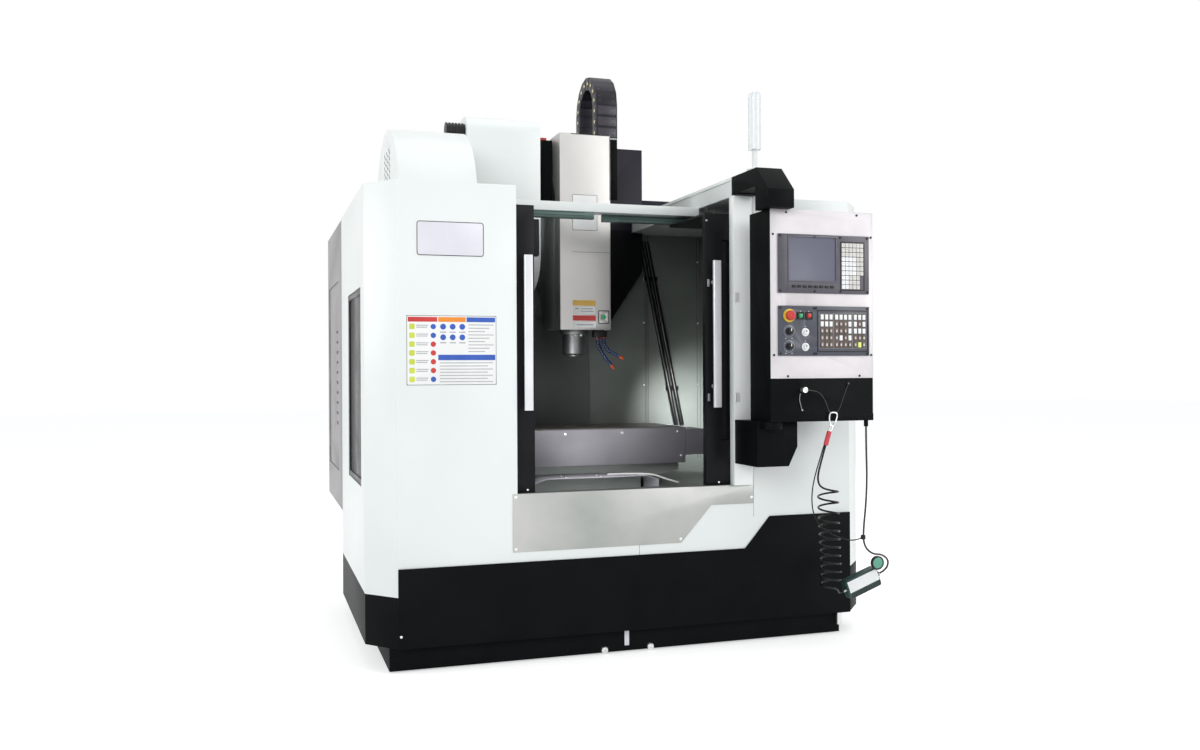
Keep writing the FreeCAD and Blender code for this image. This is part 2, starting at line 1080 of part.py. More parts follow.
def changer_port():
    """The left, bottom, right and top of the arm that ties the tool changer to the column."""
    left = axis_x - column_half
    return (left + port_left, port_low, left + port_right, port_top)


# Head


def head_casting():
    front_in = cover_front + sheet
    wide = head_wide - head_taper
    outline = [
        (-head_half, head_rear_taper),
        (-wide, head_front_taper),
        (-wide, front_in),
        (wide, front_in),
        (wide, head_front_taper),
        (head_half, head_rear_taper),
        (head_half, shield_y - 10),
        (-head_half, shield_y - 10),
    ]
    body = plan(outline, head_low, head_high)
    body.translate(V(axis_x, 0, 0))
    under = side([(head_under_y, head_low - 1), (shield_y, head_low - 1), (shield_y, head_neck_low)],
                 axis_x - head_wide, axis_x + head_wide)
    body = body.cut(under)
    rail_face = column_front - rail_h
    neck = box(axis_x - head_half, shield_y - 11, head_neck_low,
               axis_x + head_half, back_plate_y + 1, head_high)
    back = box(axis_x - back_plate_half, back_plate_y, head_neck_low,
               axis_x + back_plate_half, rail_face - clear, head_block_top)
    nut = box(axis_x - nut_half, rail_face - 30, head_neck_low,
              axis_x + nut_half, column_front - 1, head_neck_low + nut_height)
    hole = upright(screw_radius + fit, axis_x, screw_y(), head_neck_low - 1, head_high + 1)
    bore = upright(nose_radius, axis_x, 0, head_low - 1, head_low + housing_deep)
    button = rod(button_radius + clear, V(release_x(), cover_front, release_z()),
                 V(release_x(), cover_front + bore_depth, release_z()))
    casting = fused(body, neck, back, nut, *head_runners()).cut([hole, bore, button])
    seat_left = axis_x + motor_half + seat_gap
    seat_top = chain_front_end()
    post = box(seat_left, -seat_half_y, head_high, seat_left + seat_web, seat_half_y, seat_top - seat_thick)
    seat = box(seat_left, chain_front, seat_top - seat_thick,
               chain_right, chain_front + chain_height, seat_top)
    return fused(casting, post, seat, *air_unit())


def air_unit():
    """The pneumatic unit beside the spindle motor, on its bracket, with a round cap on top."""
    bracket = box(air_left, air_front, head_high - air_plate, axis_x - head_half, air_back, head_high)
    unit = box(air_left, air_front, head_high, air_right, air_back, air_top)
    cap = upright(air_cap_radius, (air_left + air_right) / 2, (air_front + air_back) / 2,
                  air_top, air_top + air_cap_height)
    return [bracket, unit, cap]


def head_runners():
    """The cheeks that hold the head on the column's guide rails."""
    cheeks = []
    for s in (-1, 1):
        for cheek in (-1, 1):
            near = axis_x + s * z_rail_half + cheek * (rail_w / 2 + clear)
            far = near + cheek * runner
            for z in (head_neck_low, head_block_top - head_block):
                cheeks.append(box(min(near, far), column_front - rail_h - runner_drop, z,
                                  max(near, far), column_front - runner_drop, z + head_block))
    return cheeks


def head_cover():
    profile = [
        (cover_front, cover_low),
        (cover_front, cover_top),
        (cover_deep_y, cover_top),
        (cover_deep_y, cover_step_high),
        (cover_shallow_y, cover_step_low),
        (cover_shallow_y, cover_low),
    ]
    grown = [
        (cover_front + sheet, cover_low - 1),
        (cover_front + sheet, cover_top - sheet),
        (cover_deep_y + 1, cover_top - sheet),
        (cover_deep_y + 1, cover_step_high - pocket_deep),
        (cover_shallow_y + 1, cover_step_low - pocket_deep),
        (cover_shallow_y + 1, cover_low - 1),
    ]
    shell = side(profile, cover_left, cover_right)
    shell = shell.cut(side(grown, cover_left + sheet, cover_right - sheet))
    x, z = release_x(), release_z()
    button = rod(button_radius + clear, V(x, cover_front - nose_step, z), V(x, cover_front + bore_depth, z))
    plate = box(x - plate_half, cover_front - 2, z - plate_half - 5,
                x + plate_half, cover_front, z + plate_half + 5)
    return fused(shell, plate).cut(button)


def release_x():
    return cover_right - release_inset


def release_z():
    return cover_low + release_rise


def release_button():
    x, z = release_x(), release_z()
    cap = rod(button_radius, V(x, cover_front - nose_step, z), V(x, cover_front + 1, z))
    stem = rod(stem_radius - 1, V(x, cover_front + 1, z), V(x, cover_front + nose_step, z))
    return fused(cap, stem)


def spindle_motor():
    lip = motor_half + motor_lip
    fan_low = motor_top - motor_fan
    body = box(axis_x - motor_half, -motor_half, head_high + motor_flange,
               axis_x + motor_half, motor_half, fan_low)
    body = body.makeChamfer(motor_chamfer, upright_edges(body))
    flange = box(axis_x - lip, -lip, head_high, axis_x + lip, lip, head_high + motor_flange)
    fan = upright(motor_half - seat_web, axis_x, 0, fan_low, motor_top)
    return fused(body, flange, fan)


def spindle_housing():
    low = nose_z + nose_step
    top = head_low + housing_deep
    nose = upright(nose_radius, axis_x, 0, low, top)
    rim = [e for e in nose.Edges if abs(e.BoundBox.ZMax - low) < 0.01]
    nose = nose.makeChamfer(nose_chamfer, rim)
    collar = upright(nose_radius + nose_collar, axis_x, 0, nose_top, head_low)
    bore = upright(spindle_radius + fit, axis_x, 0, nose_z, top + 1)
    return fused(nose, collar).cut(bore)


def spindle():
    shaft = upright(spindle_radius, axis_x, 0, nose_z, head_low + housing_deep)
    taper = Part.makeCone(taper_wide, taper_narrow, taper_deep, V(axis_x, 0, nose_z), V(0, 0, 1))
    keyway = box(axis_x - key_half, -spindle_radius - 1, nose_z - 1,
                 axis_x + key_half, spindle_radius + 1, nose_z + nose_step)
    return shaft.cut([taper, keyway])


def jointed_hose(points, radius, tip_radius):
    """A hose of ball segments along points, with a tapered nozzle at its end."""
    balls = []
    for start, end in zip(points, points[1:]):
        balls.append(rod(radius * 0.8, start, end))
        balls.append(Part.makeSphere(radius, start))
    last = points[-1]
    way = (points[-1] - points[-2]).normalize()
    balls.append(Part.makeCone(radius, tip_radius, radius * 4, last, way))
    return balls


def coolant_nozzles():
    y = -70
    x = cover_right - 22
    block = box(x - 22, y - 22, cover_low - 30, x + 44, y + 22, head_low)
    down = jointed_hose([V(x, y, cover_low - 20), V(x + 4, y, cover_low - 70), V(x + 30, y, cover_low - 116),
                         V(x + 60, y - 4, cover_low - 156)], 10, 4)
    out = jointed_hose([V(x + 32, y, cover_low - 20), V(x + 30, y - 6, cover_low - 60),
                        V(x + 52, y - 16, cover_low - 96), V(x + 92, y - 22, cover_low - 118)], 10, 4)
    return fused(block, *(down + out))


def chain_apex():
    return shield_top + chain_rise


def chain_front_end():
    return chain_apex() - chain_radius() - chain_front_links * chain_pitch()


def chain_rear_end():
    return chain_apex() - chain_radius() - chain_rear_links * chain_pitch()


def chain_radius():
    return (chain_rear - chain_front) / 2


def chain_pitch():
    return math.pi * (chain_radius() - chain_height / 2) / chain_arc_links


def chain_link(outline):
    """A chain link: a side outline across the width, hollow for the cables along its run."""
    body = side(outline, chain_left, chain_right)
    a, b, c, d = [V(0, y, z) for y, z in outline]
    low = (a + b) * 0.5
    high = (c + d) * 0.5
    across = (low - high).normalize()
    run = (b - a).normalize() * 2 * chain_height
    points = [
        low - across * chain_wall - run,
        low - across * chain_wall + run,
        high + across * chain_wall + run,
        high + across * chain_wall - run,
    ]
    passage = prism([V(chain_left + chain_wall, p.y, p.z) for p in points],
                    V(chain_right - chain_left - 2 * chain_wall, 0, 0))
    middle = (low + high) * 0.5
    pins = []
    for x, far in ((chain_left, chain_left - chain_pin_proud), (chain_right, chain_right + chain_pin_proud)):
        pins.append(rod(chain_pin, V(x, middle.y, middle.z), V(far, middle.y, middle.z)))
    return fused(body.cut(passage), *pins)


def chain_leg(near, far, count, end):
    """The upright links below the bend, from the bend down to the leg's end."""
    links = []
    z = chain_apex() - chain_radius()
    for i in range(count):
        top = z - i * chain_pitch() - chain_gap / 2
        low = top + chain_gap - chain_pitch()
        if i == count - 1:
            low = end
        links.append(chain_link([(near, top), (near, low), (far, low), (far, top)]))
    return links


def drag_chain():
    radius = chain_radius()
    inner = radius - chain_height
    links = chain_leg(chain_front, chain_front + chain_height, chain_front_links, chain_front_end())
    links += chain_leg(chain_rear, chain_rear - chain_height, chain_rear_links, chain_rear_end())
    y = (chain_front + chain_rear) / 2
    z = chain_apex() - radius
    step = math.pi / chain_arc_links
    trim = chain_gap / 2 / inner
    for i in range(chain_arc_links):
        ends = (i * step + trim, (i + 1) * step - trim)
        rim = [(y + radius * math.cos(a), z + radius * math.sin(a)) for a in ends]
        hub = [(y + inner * math.cos(a), z + inner * math.sin(a)) for a in reversed(ends)]
        links.append(chain_link(rim + hub))
    return Part.makeCompound(links)


# Doors


def door(left, right, leading, rail_back, handle_x):
    """A sliding door: a framed front with a window, and a roof part that hangs on its rail."""
    back = door_front + door_thick
    roof_top = rail_low - clear
    panel = box(left, door_front, sill_z + clear, right, back, roof_top)
    inner_left = left + (door_bar if leading == left else door_frame)
    inner_right = right - (door_bar if leading == right else door_frame)
    low = sill_z + window_sill
    high = door_top - window_head
    opening = box(inner_left, door_front - 1, low, inner_right, back + 1, high)
    seat = box(inner_left - rebate, back - pane_back, low - rebate,
               inner_right + rebate, back + 1, high + rebate)
    roof = box(left, door_front, roof_top - roof_sheet, right, rail_back, roof_top)
    frame = fused(panel.cut([opening, seat]), roof)
    pane = box(inner_left - rebate, back - pane_back, low - rebate,
               inner_right + rebate, back - pane_back + pane_thick, high + rebate)
    y = door_front - handle_off
    half = handle_width / 2
    grip = box(handle_x - half, y, handle_low, handle_x + half, y + handle_thick, handle_high)
    grip = grip.makeFillet(5, upright_edges(grip))
    feet = []
    for z in (handle_low + handle_foot, handle_high - handle_foot):
        foot = V(handle_x, y + handle_thick - 1, z)
        feet.append(rod(handle_foot_radius, foot, V(handle_x, door_front, z)))
    return Part.makeCompound([frame, pane, fused(grip, *feet)])


def left_door():
    """The left door, with the door switch's block behind its leading edge."""
    left = -(half_width - corner_x - door_tuck_left)
    leaf = door(left, left_door_edge, left_door_edge, beam_y + rail_deep, left_door_edge - handle_inset)
    back = door_front + door_thick
    block = box(left_door_edge - block_reach, back, block_bottom,
                left_door_edge + block_reach, back + block_deep, block_head)
    frame, pane, grip = leaf.Solids
    return Part.makeCompound([frame.fuse(block), pane, grip])


def right_door():
    right = half_width - corner_x - door_tuck_right
    return door(right_door_edge, right, right_door_edge, beam_y + rail_step + rail_deep,
                right_door_edge + handle_inset + 1)


# Tool changer


def changer_box():
    y0, y1 = changer_front, changer_back
    z0, z1 = changer_low, changer_top
    low, top = changer_low_round, changer_top_round
    s = 1 - math.sqrt(0.5)
    edges = [
        Part.LineSegment(V(0, y0, z0 + low), V(0, y0, z1 - top)),
        Part.Arc(V(0, y0, z1 - top), V(0, y0 + top * s, z1 - top * s), V(0, y0 + top, z1)),
        Part.LineSegment(V(0, y0 + top, z1), V(0, y1, z1)),
        Part.LineSegment(V(0, y1, z1), V(0, y1, z0)),
        Part.LineSegment(V(0, y1, z0), V(0, y0 + low, z0)),
        Part.Arc(V(0, y0 + low, z0), V(0, y0 + low * s, z0 + low * s), V(0, y0, z0 + low)),
    ]
    face = Part.Face(Part.Wire([edge.toShape() for edge in edges]))
    face.translate(V(changer_left, 0, 0))
    body = face.extrude(V(changer_right - changer_left, 0, 0))
    left, bottom, right, high = changer_port()
    tie = box(left, changer_back, bottom, right, column_front, high)
    neck = upright(neck_radius, arm_x, arm_y, neck_low, changer_low + 2 * shaft_reach)
    bore = upright(arm_shaft_radius + fit, arm_x, arm_y, neck_low - 1, changer_low + shaft_reach)
    body = fused(body, tie, neck, *magazine_motor()).cut(bore)
    return Part.makeCompound([body, magazine_axle()])


def magazine_motor():
    """The ribbed motor that turns the magazine, on the side of the changer."""
    reach = drum_ribs * drum_pitch
    parts = [rod(drum_radius - drum_groove, V(changer_left, drum_y, drum_z),
                 V(changer_left - reach, drum_y, drum_z))]
    for i in range(drum_ribs):
        x = changer_left - (i + 1) * drum_pitch
        parts.append(rod(drum_radius, V(x + drum_pitch / 2, drum_y, drum_z), V(x, drum_y, drum_z)))
    return parts


def magazine_axle():
    """The shelf and axle that carry the magazine, bolted to the changer."""
    x = changer_left - shelf_thick
    plate = box(x, changer_front, carousel_z - shelf_half,
                changer_left, changer_front + shelf_depth, carousel_z + shelf_half)
    arm = box(x, carousel_y - shelf_arm, carousel_z - shelf_arm,
              changer_left, changer_front + 1, carousel_z + shelf_arm)
    start = V(x, carousel_y, carousel_z)
    axle = rod(axle_radius, start, V(disc_x - disc_rim, carousel_y, carousel_z))
    step = rod(axle_radius + shoulder, start,
               V(disc_x + disc_thick + hub_back + clear, carousel_y, carousel_z))
    return fused(plate, arm, axle, step)


def carousel():
    x1 = disc_x + disc_thick
    centre = (carousel_y, carousel_z)
    disc = rod(carousel_radius - disc_rim, V(disc_x, *centre), V(x1, *centre))
    hub = rod(hub_radius, V(disc_x - hub_proud, *centre), V(x1 + hub_back, *centre))
    pots = []
    holes = [rod(axle_radius + fit, V(disc_x - hub_proud - 1, *centre), V(x1 + hub_back + 1, *centre))]
    for i in range(pot_count):
        a = 2 * math.pi * i / pot_count
        y = carousel_y + (carousel_radius - pot_radius) * math.cos(a)
        z = carousel_z + (carousel_radius - pot_radius) * math.sin(a)
        mouth = V(x1 + pot_length, y, z)
        pots.append(rod(pot_radius, V(x1 - 2, y, z), mouth))
        holes.append(Part.makeCone(taper_wide, taper_narrow, pot_length - disc_rim, mouth, V(-1, 0, 0)))
    return fused(disc, hub, *pots).cut(holes)


def magazine_hood():
    outer = hood_outline(hood_radius, cabinet_top)
    outer.translate(V(hood_left, 0, 0))
    outer = outer.extrude(V(hood_right - hood_left, 0, 0))
    inner = hood_outline(hood_radius - sheet, cabinet_top - 1)
    inner.translate(V(hood_left + sheet, 0, 0))
    inner = inner.extrude(V(hood_right - hood_left - 2 * sheet, 0, 0))
    slots = []
    for row in range(hood_slot_rows):
        for place in (-1, 0, 1):
            slot = box(hood_left - 1, -hood_slot_half, -hood_slot_thick,
                       hood_left + sheet + 1, hood_slot_half, hood_slot_thick)
            slot.rotate(V(hood_left, 0, 0), V(1, 0, 0), hood_slot_tilt)
            slot.translate(V(0, hood_y + place * hood_slot_spread - hood_slot_shift,
                             cabinet_top + hood_slot_low + row * hood_slot_pitch))
            slots.append(slot)
    return outer.cut(inner).cut(slots)


def arm_shaft():
    return upright(arm_shaft_radius, arm_x, arm_y, arm_z + arm_thick, changer_low - shaft_reach)


def changer_arm():
    """The double arm, with a jaw at each end that opens sideways round a tool."""
    top = arm_z + arm_thick
    end = arm_reach - arm_grip
    parts = [upright(arm_hub, 0, 0, arm_z, top)]
    cuts = []
    for s in (-1, 1):
        x = s * arm_reach
        parts.append(upright(arm_jaw, x, 0, arm_z, top))
        cuts.append(upright(arm_grip, x, 0, arm_z - 1, top + 1))
        inner_x = x - s * disc_rim
        outer_x = x + s * 2 * arm_jaw
        mouth_y = s * arm_mouth
        far_y = s * (arm_mouth + 2 * arm_jaw)
        cuts.append(box(min(inner_x, outer_x), min(mouth_y, far_y) if s > 0 else far_y, arm_z - 1,
                        max(inner_x, outer_x), max(mouth_y, far_y) if s > 0 else mouth_y, top + 1))
    bar = box(-end, -arm_bar, arm_z, end, arm_bar, top)
    arm = fused(bar, *parts).cut(cuts)
    arm.rotate(V(0, 0, 0), V(0, 0, 1), park_angle)
    arm.translate(V(arm_x, arm_y, 0))
    return arm


# Electrical cabinet


def hinge_rods(radius, half, ends):
    """A round bar on the cabinet door's hinge line at each hinge."""
    x, y = door_axis()
    rods = []
    for z in hinge_heights():
        if ends:
            rods.append(upright(radius, x, y, z - 2 * half, z - half - clear))
            rods.append(upright(radius, x, y, z + half + clear, z + 2 * half))
        else:
            rods.append(upright(radius, x, y, z - half, z + half))
    return rods


def hinge_heights():
    low = cab_door_low + hinge_ends
    high = cab_door_top - hinge_ends
    return (low, (low + high) / 2, high)


def door_axis():
    """The hinge line, on the outer face of the cabinet door at its rear edge."""
    return (-half_width + cab_inset, rear_y - cab_frame - clear)


def electrical_cabinet():
    left = -half_width
    body = box(left, cab_front, cab_low, cab_right, rear_y, cab_top)
    flange = box(left, cab_flange_y, cab_low, left + sheet, cab_front, cab_top)
    deep = left + cab_inset + cab_door_thick
    recess = box(left - 1, cab_front + cab_margin, cab_door_low,
                 deep + clear, rear_y - cab_frame, cab_door_top)
    room = box(deep, cab_front + cab_frame, cab_door_low + cab_wall,
               left + cab_room, rear_y - cab_frame - cab_wall, cab_door_top - cab_wall)
    ties = []
    for z in (cab_low + tie_offset_low, cab_top - tie_offset_top):
        ties.append(box(cab_right, tie_front, z, axis_x - column_half, tie_back, z + tie_height))
    shell = fused(body, flange, *ties)
    shell = shell.cut([recess, room] + hinge_rods(hinge_radius + clear, 2 * hinge_half, False))
    pins = hinge_rods(hinge_pin, 2 * hinge_half - 1, False)
    return fused(shell, *(hinge_rods(hinge_radius, hinge_half, True) + pins + hinge_seats()))


def hinge_seats():
    """The leaves that join the fixed hinge barrels to the cabinet."""
    x, y = door_axis()
    seats = []
    for z in hinge_heights():
        for z0, z1 in ((z - 2 * hinge_half, z - hinge_half - clear),
                       (z + hinge_half + clear, z + 2 * hinge_half)):
            seats.append(box(x, y + clear, z0, x + hinge_radius + 1, y + hinge_radius + 1, z1))
    return seats


def cabinet_door():
    left = -half_width + cab_inset
    front_edge = cab_front + cab_margin + clear
    leaf = box(left, front_edge, cab_door_low + clear,
               left + cab_door_thick, rear_y - cab_frame - clear, cab_door_top - clear)
    cuts = hinge_rods(hinge_radius + clear, 2 * hinge_half, False)
    for i in range(vent_count):
        z = vent_low + i * vent_pitch
        cuts.append(box(left - 1, vent_front, z, left + 6, vent_back, z + vent_height))
    latch_y = front_edge + latch_bar
    cuts.append(box(left - 1, latch_y, latch_low, left + latch_bar, latch_y + latch_width, latch_high))
    latch = box(left, latch_y + 10, latch_low + 12,
                left + latch_bar, latch_y + 10 + latch_bar, latch_high - 12)
    x, y = door_axis()
    knuckles = []
    for z, barrel in zip(hinge_heights(), hinge_rods(hinge_radius, hinge_half, False)):
        seat = box(x, y - hinge_radius - 1, z - hinge_half, x + hinge_radius + 1, y, z + hinge_half)
        bore = upright(hinge_pin + fit, x, y, z - hinge_half - 1, z + hinge_half + 1)
        knuckles.append(fused(barrel, seat).cut(bore))
    return fused(leaf.cut(cuts), latch, *knuckles)


def lubricator():
    x0 = axis_x + column_half - pocket_deep
    x1 = x0 + lubricator_plate
    y0, z0 = lubricator_y, lubricator_z
    y1 = y0 + lubricator_wide
    plate = box(x0, y0, z0, x1, y1, z0 + lubricator_high)
    tank_top = z0 + tank_inset + tank_tall
    tank = box(x1, y0 + tank_inset, z0 + tank_inset, x1 + tank_side, y1 - tank_inset, tank_top)
    pump = box(x1, y0 + pump_inset, tank_top, x1 + pump_side, y1 - pump_inset, z0 + pump_top)
    return fused(tank, pump, plate)


def wall_hose():
    """Two hoses side by side down the back wall, in shared clips."""
    y = wall_y - wall_hose_radius - 1
    start = V(wall_hose_top[0], y, wall_hose_top[1])
    end = V(wall_hose_low[0], y, wall_hose_low[1])
    parts = []
    for place in (-hose_pitch / 2, hose_pitch / 2):
        aside = V(place, 0, 0)
        parts.append(rod(wall_hose_radius, start + aside, end + aside))
    for share in (0.2, 0.8):
        p = start + (end - start) * share
        parts.append(box(p.x - clip_half, y - 2, p.z - clip_height,
                         p.x + clip_half, wall_y, p.z + clip_height))
    return fused(*parts)


# Control pod and its arm


def pod_arm():
    profile = [
        (front_y, arm_low),
        (arm_leg_back, arm_low),
        (arm_leg_back, pod_top),
        (arm_front, pod_top),
        (arm_front, arm_nose_z),
        (arm_nose_y, duct_top),
        (front_y, duct_top),
    ]
    post_front = front_y - post_proud
    body = side(profile, arm_left, arm_right)
    foot = box(arm_left, post_front - arm_foot, cabinet_top, arm_right - arm_seat, front_y, arm_low)
    bore = upright(pivot_radius + fit, pivot_x, pivot_y, pod_top - 1, pod_top + pivot_length + 2)
    upper = fused(body, foot).cut(bore)
    outline = [
        (arm_left, pod_low),
        (arm_left, bracket_low),
        (bracket_right - bracket_chamfer_x, bracket_low),
        (bracket_right, bracket_low + bracket_chamfer_z),
        (bracket_right, pod_low),
    ]
    lower = front(outline, bracket_front, front_y)
    lower = lower.cut(box(arm_left - 1, post_front, bracket_low - 1,
                          opening_right + post_width, front_y + 1, pod_low + 1))
    ear = upright(pivot_radius + ear_width, pivot_x, pivot_y, pod_low - ear_drop, pod_low)
    bore = upright(pivot_radius + fit, pivot_x, pivot_y, pod_low - ear_drop - 1, pod_low + 1)
    return Part.makeCompound([upper, fused(lower, ear).cut(bore)])


def signal_lamp():
    x = (arm_left + arm_right) / 2 - 8
    foot_top = duct_top + lamp_foot_height
    low = duct_top + lamp_low
    top = duct_top + lamp_high
    foot = upright(lamp_foot, x, lamp_y, duct_top, foot_top)
    pole = upright(lamp_pole, x, lamp_y, foot_top, low)
    lamp = upright(lamp_radius, x, lamp_y, low, top)
    rim = [e for e in lamp.Edges if abs(e.BoundBox.ZMin - top) < 0.01]
    return fused(foot, pole, lamp.makeFillet(lamp_round, rim))


def turn_places():
    """The places of the two knobs and the two key switches."""
    return ((dial_x, feed_z), (dial_x, spindle_z), (key_x, program_z), (key_x, lock_z))


def pod_bores(front_most):
    """The round holes behind the buttons, the knobs and the switches."""
    deep = pod_front + bore_depth
    holes = []
    for x in (estop_x, start_x, stop_x):
        holes.append(rod(button_radius + clear, V(x, front_most, button_z), V(x, deep, button_z)))
    for x, z in turn_places():
        holes.append(rod(stem_radius + fit, V(x, front_most, z), V(x, deep, z)))
    return holes


def control_pod():
    low = pod_low + clear
    top = pod_top - clear
    body = box(pod_left, pod_front, low, pod_right, pod_back, top)
    body = body.makeFillet(pod_round, upright_edges(body, y=pod_back))
    ledge = box(pod_left, pod_front - ledge_proud, low, pod_right, pod_front, low + ledge_height)
    pins = [upright(pivot_radius, pivot_x, pivot_y, top, pod_top + pivot_length),
            upright(pivot_radius, pivot_x, pivot_y, pod_low - ear_drop + 2, low)]
    peg = rod(peg_radius, V(peg_x, pod_front, peg_z), V(peg_x, pod_front - peg_length, peg_z))
    gland = upright(gland_radius, *cable_route[0], low)
    body = fused(body, ledge, peg, gland, *pins)
    return Part.makeCompound([body.cut(pod_bores(pod_front - 1)), hose_fitting()])


def pod_face():
    y = pod_front - face_sheet
    plate = box(pod_left, y, pod_face_low, pod_right, pod_front, pod_top - clear)
    screws = []
    heights = (pod_top - screw_drop, display_top + screw_clear, operator_low - screw_low,
               pod_face_low + screw_bottom)
    for x in (unit_left + screw_inset, unit_right - screw_inset):
        for z in heights:
            screws.append(rod(face_screw, V(x, y - 2, z), V(x, y, z)))
    return fused(plate, *screws).cut(pod_bores(y - 1))


def key_block(left, right, low, high, columns, rows, gap, y):
    """Raised keys in a grid, on a panel face at y."""
    pitch_x = (right - left) / columns
    pitch_z = (high - low) / rows
    keys = []
    for i in range(columns):
        for j in range(rows):
            x = left + i * pitch_x + gap / 2
            z = low + j * pitch_z + gap / 2
            keys.append(box(x, y - key_proud, z, x + pitch_x - gap, y, z + pitch_z - gap))
    return keys


def display_unit():
    y = pod_front - face_sheet
    face = y - unit_proud
    body = box(unit_left, face, display_low, unit_right, y, display_top)
    screen = box(screen_left, face - 1, screen_low, screen_right, face + 4, screen_top)
    left, right, low, high = letter_keys
    split = low + (high - low) * short_rows / letter_rows
    short = right - (right - left) / letter_columns
    keys = key_block(left, right, split, high, letter_columns, letter_rows - short_rows, letter_gap, face)
    keys += key_block(left, short, low, split, letter_columns - 1, short_rows, letter_gap, face)
    keys += key_block(*soft_keys, 8, 1, key_gap, face)
    return fused(body.cut(screen), *keys)


def operator_unit():
    y = pod_front - face_sheet
    face = y - unit_proud
    body = box(unit_left, face, operator_low, unit_right, y, operator_top)
    raised = [rod(collar_radius, V(estop_x, face - collar_proud, button_z), V(estop_x, face, button_z))]
    for x in (start_x, stop_x):
        raised.append(box(x - bezel_half, face - bezel_proud, button_z - bezel_half,
                          x + bezel_half, face, button_z + bezel_half))
    for left, right, columns in key_blocks:
        raised += key_block(left, right, block_low, block_top, columns, block_rows, key_gap, face)
    for z in (feed_z, spindle_z):
        raised.append(rod(dial_plate, V(dial_x, face - dial_proud, z), V(dial_x, face, z)))
    return fused(body, *raised).cut(pod_bores(face - bezel_proud - 1))


def push_button(x, z, cap_radius, height, stand):
    """A button on its stem, clear of the face by its travel and more."""
    face = pod_front - face_sheet - unit_proud
    stem = rod(button_radius, V(x, face - stand - 1, z), V(x, face + 8, z))
    cap = rod(cap_radius, V(x, face - stand - height, z), V(x, face - stand, z))
    return fused(stem, cap)


def square_button(x, z):
    """A square cap on a round stem, inside its bezel."""
    face = pod_front - face_sheet - unit_proud
    stem = rod(button_radius, V(x, face, z), V(x, face + 8, z))
    cap = box(x - cap_half, face - cap_height, z - cap_half, x + cap_half, face + 1, z + cap_half)
    return fused(stem, cap)


def estop_button():
    button = push_button(estop_x, button_z, estop_cap, estop_height, collar_proud + button_travel + 1)
    crown = button.BoundBox.YMin
    return button.makeFillet(estop_round, [e for e in button.Edges if abs(e.BoundBox.YMax - crown) < 0.01])


def turn_knob(x, z, radius, length, stand):
    """A knob or key switch on its stem, with a ridge that shows where it points."""
    face = pod_front - face_sheet - unit_proud - stand
    stem = rod(stem_radius, V(x, face - 1, z), V(x, face + stand + 12, z))
    skirt = rod(radius, V(x, face - 6, z), V(x, face, z))
    grip = rod(radius * 0.76, V(x, face - length, z), V(x, face - 5, z))
    ridge = box(x - 1.5, face - length - 1.5, z, x + 1.5, face - length, z + radius * 0.7)
    return fused(stem, skirt, grip, ridge)


def tilted(shape):
    shape.rotate(V(0, 0, 0), V(0, 1, 0), -pendant_tilt)
    shape.translate(V(pendant_x, pendant_y, pendant_z))
    return shape


def pendant_axis():
    tilt = math.radians(pendant_tilt)
    return V(math.cos(tilt), 0, math.sin(tilt))


def pendant_end(sign):
    """The centre of a gland's outer face at one end of the pendant."""
    centre = V(pendant_x, pendant_y, pendant_z)
    return centre + pendant_axis() * (sign * (pendant_length / 2 + gland_length))


def pendant():
    half_l, half_w, half_t = pendant_length / 2, pendant_thick / 2, pendant_width / 2
    body = box(-half_l, -half_w, -half_t, half_l, half_w, half_t)
    body = body.makeFillet(pendant_round, body.Edges)
    dial = rod(dial_radius + 4, V(-wheel_off, half_w, 0), V(-wheel_off, half_w + 2, 0))
    hole = rod(4 + fit, V(-wheel_off, half_w - 14, 0), V(-wheel_off, half_w + 3, 0))
    knobs = []
    for z in (-selector_off, selector_off):
        knobs.append(rod(selector_radius, V(selector_x, half_w, z), V(selector_x, half_w + 12, z)))
    glands = []
    for s in (-1, 1):
        glands.append(rod(gland_radius, V(s * (half_l - 1), 0, 0), V(s * (half_l + gland_length), 0, 0)))
    return tilted(fused(body, dial, *(knobs + glands)).cut(hole))


def pendant_wheel():
    face = pendant_thick / 2 + 2 + clear
    x = -wheel_off
    wheel = rod(dial_radius, V(x, face, 0), V(x, face + 12, 0))
    stem = rod(4, V(x, face - 12, 0), V(x, face + 1, 0))
    finger = rod(5, V(x, face + 11, dial_radius - 10), V(x, face + 26, dial_radius - 10))
    return tilted(fused(wheel, stem, finger))


def hose_fitting():
    """The peg and hook that the air hose hangs from, with the sleeve that grips it."""
    end = V(*hose_start)
    way = (V(*hose_start) - V(*hose_bend)).normalize()
    sleeve = rod(8, end, end + way * 60)
    shank = rod(4, end + way * 59, end + way * 92)
    ring = Part.makeTorus(17, 3, end + way * 110, V(0, 1, 0))
    top = end + way * 110 + V(0, 0, 13)
    peg = rod(4, V(top.x, pod_front - ledge_proud, top.z - 3), V(top.x, top.y - 8, top.z - 3))
    return fused(sleeve, shank, ring, peg)


def bent_path(points):
    """Straight runs joined by tangent arcs, with the list of arc radii."""
    edges = []
    radii = []
    last = points[0]
    for before, corner, after in zip(points, points[1:], points[2:]):
        a = (before - corner).normalize()
        b = (after - corner).normalize()
        half = (math.pi - a.getAngle(b)) / 2
        trim = 0.45 * min((before - corner).Length, (after - corner).Length)
        radii.append(trim / math.tan(half))
        start = corner + a * trim
        end = corner + b * trim
        centre = corner + (a + b).normalize() * (radii[-1] / math.cos(half))
        middle = centre + (corner - centre).normalize() * radii[-1]
        edges.append(Part.LineSegment(last, start).toShape())
        edges.append(Part.Arc(start, middle, end).toShape())
        last = end
    edges.append(Part.LineSegment(last, points[-1]).toShape())
    return Part.Wire(edges), radii


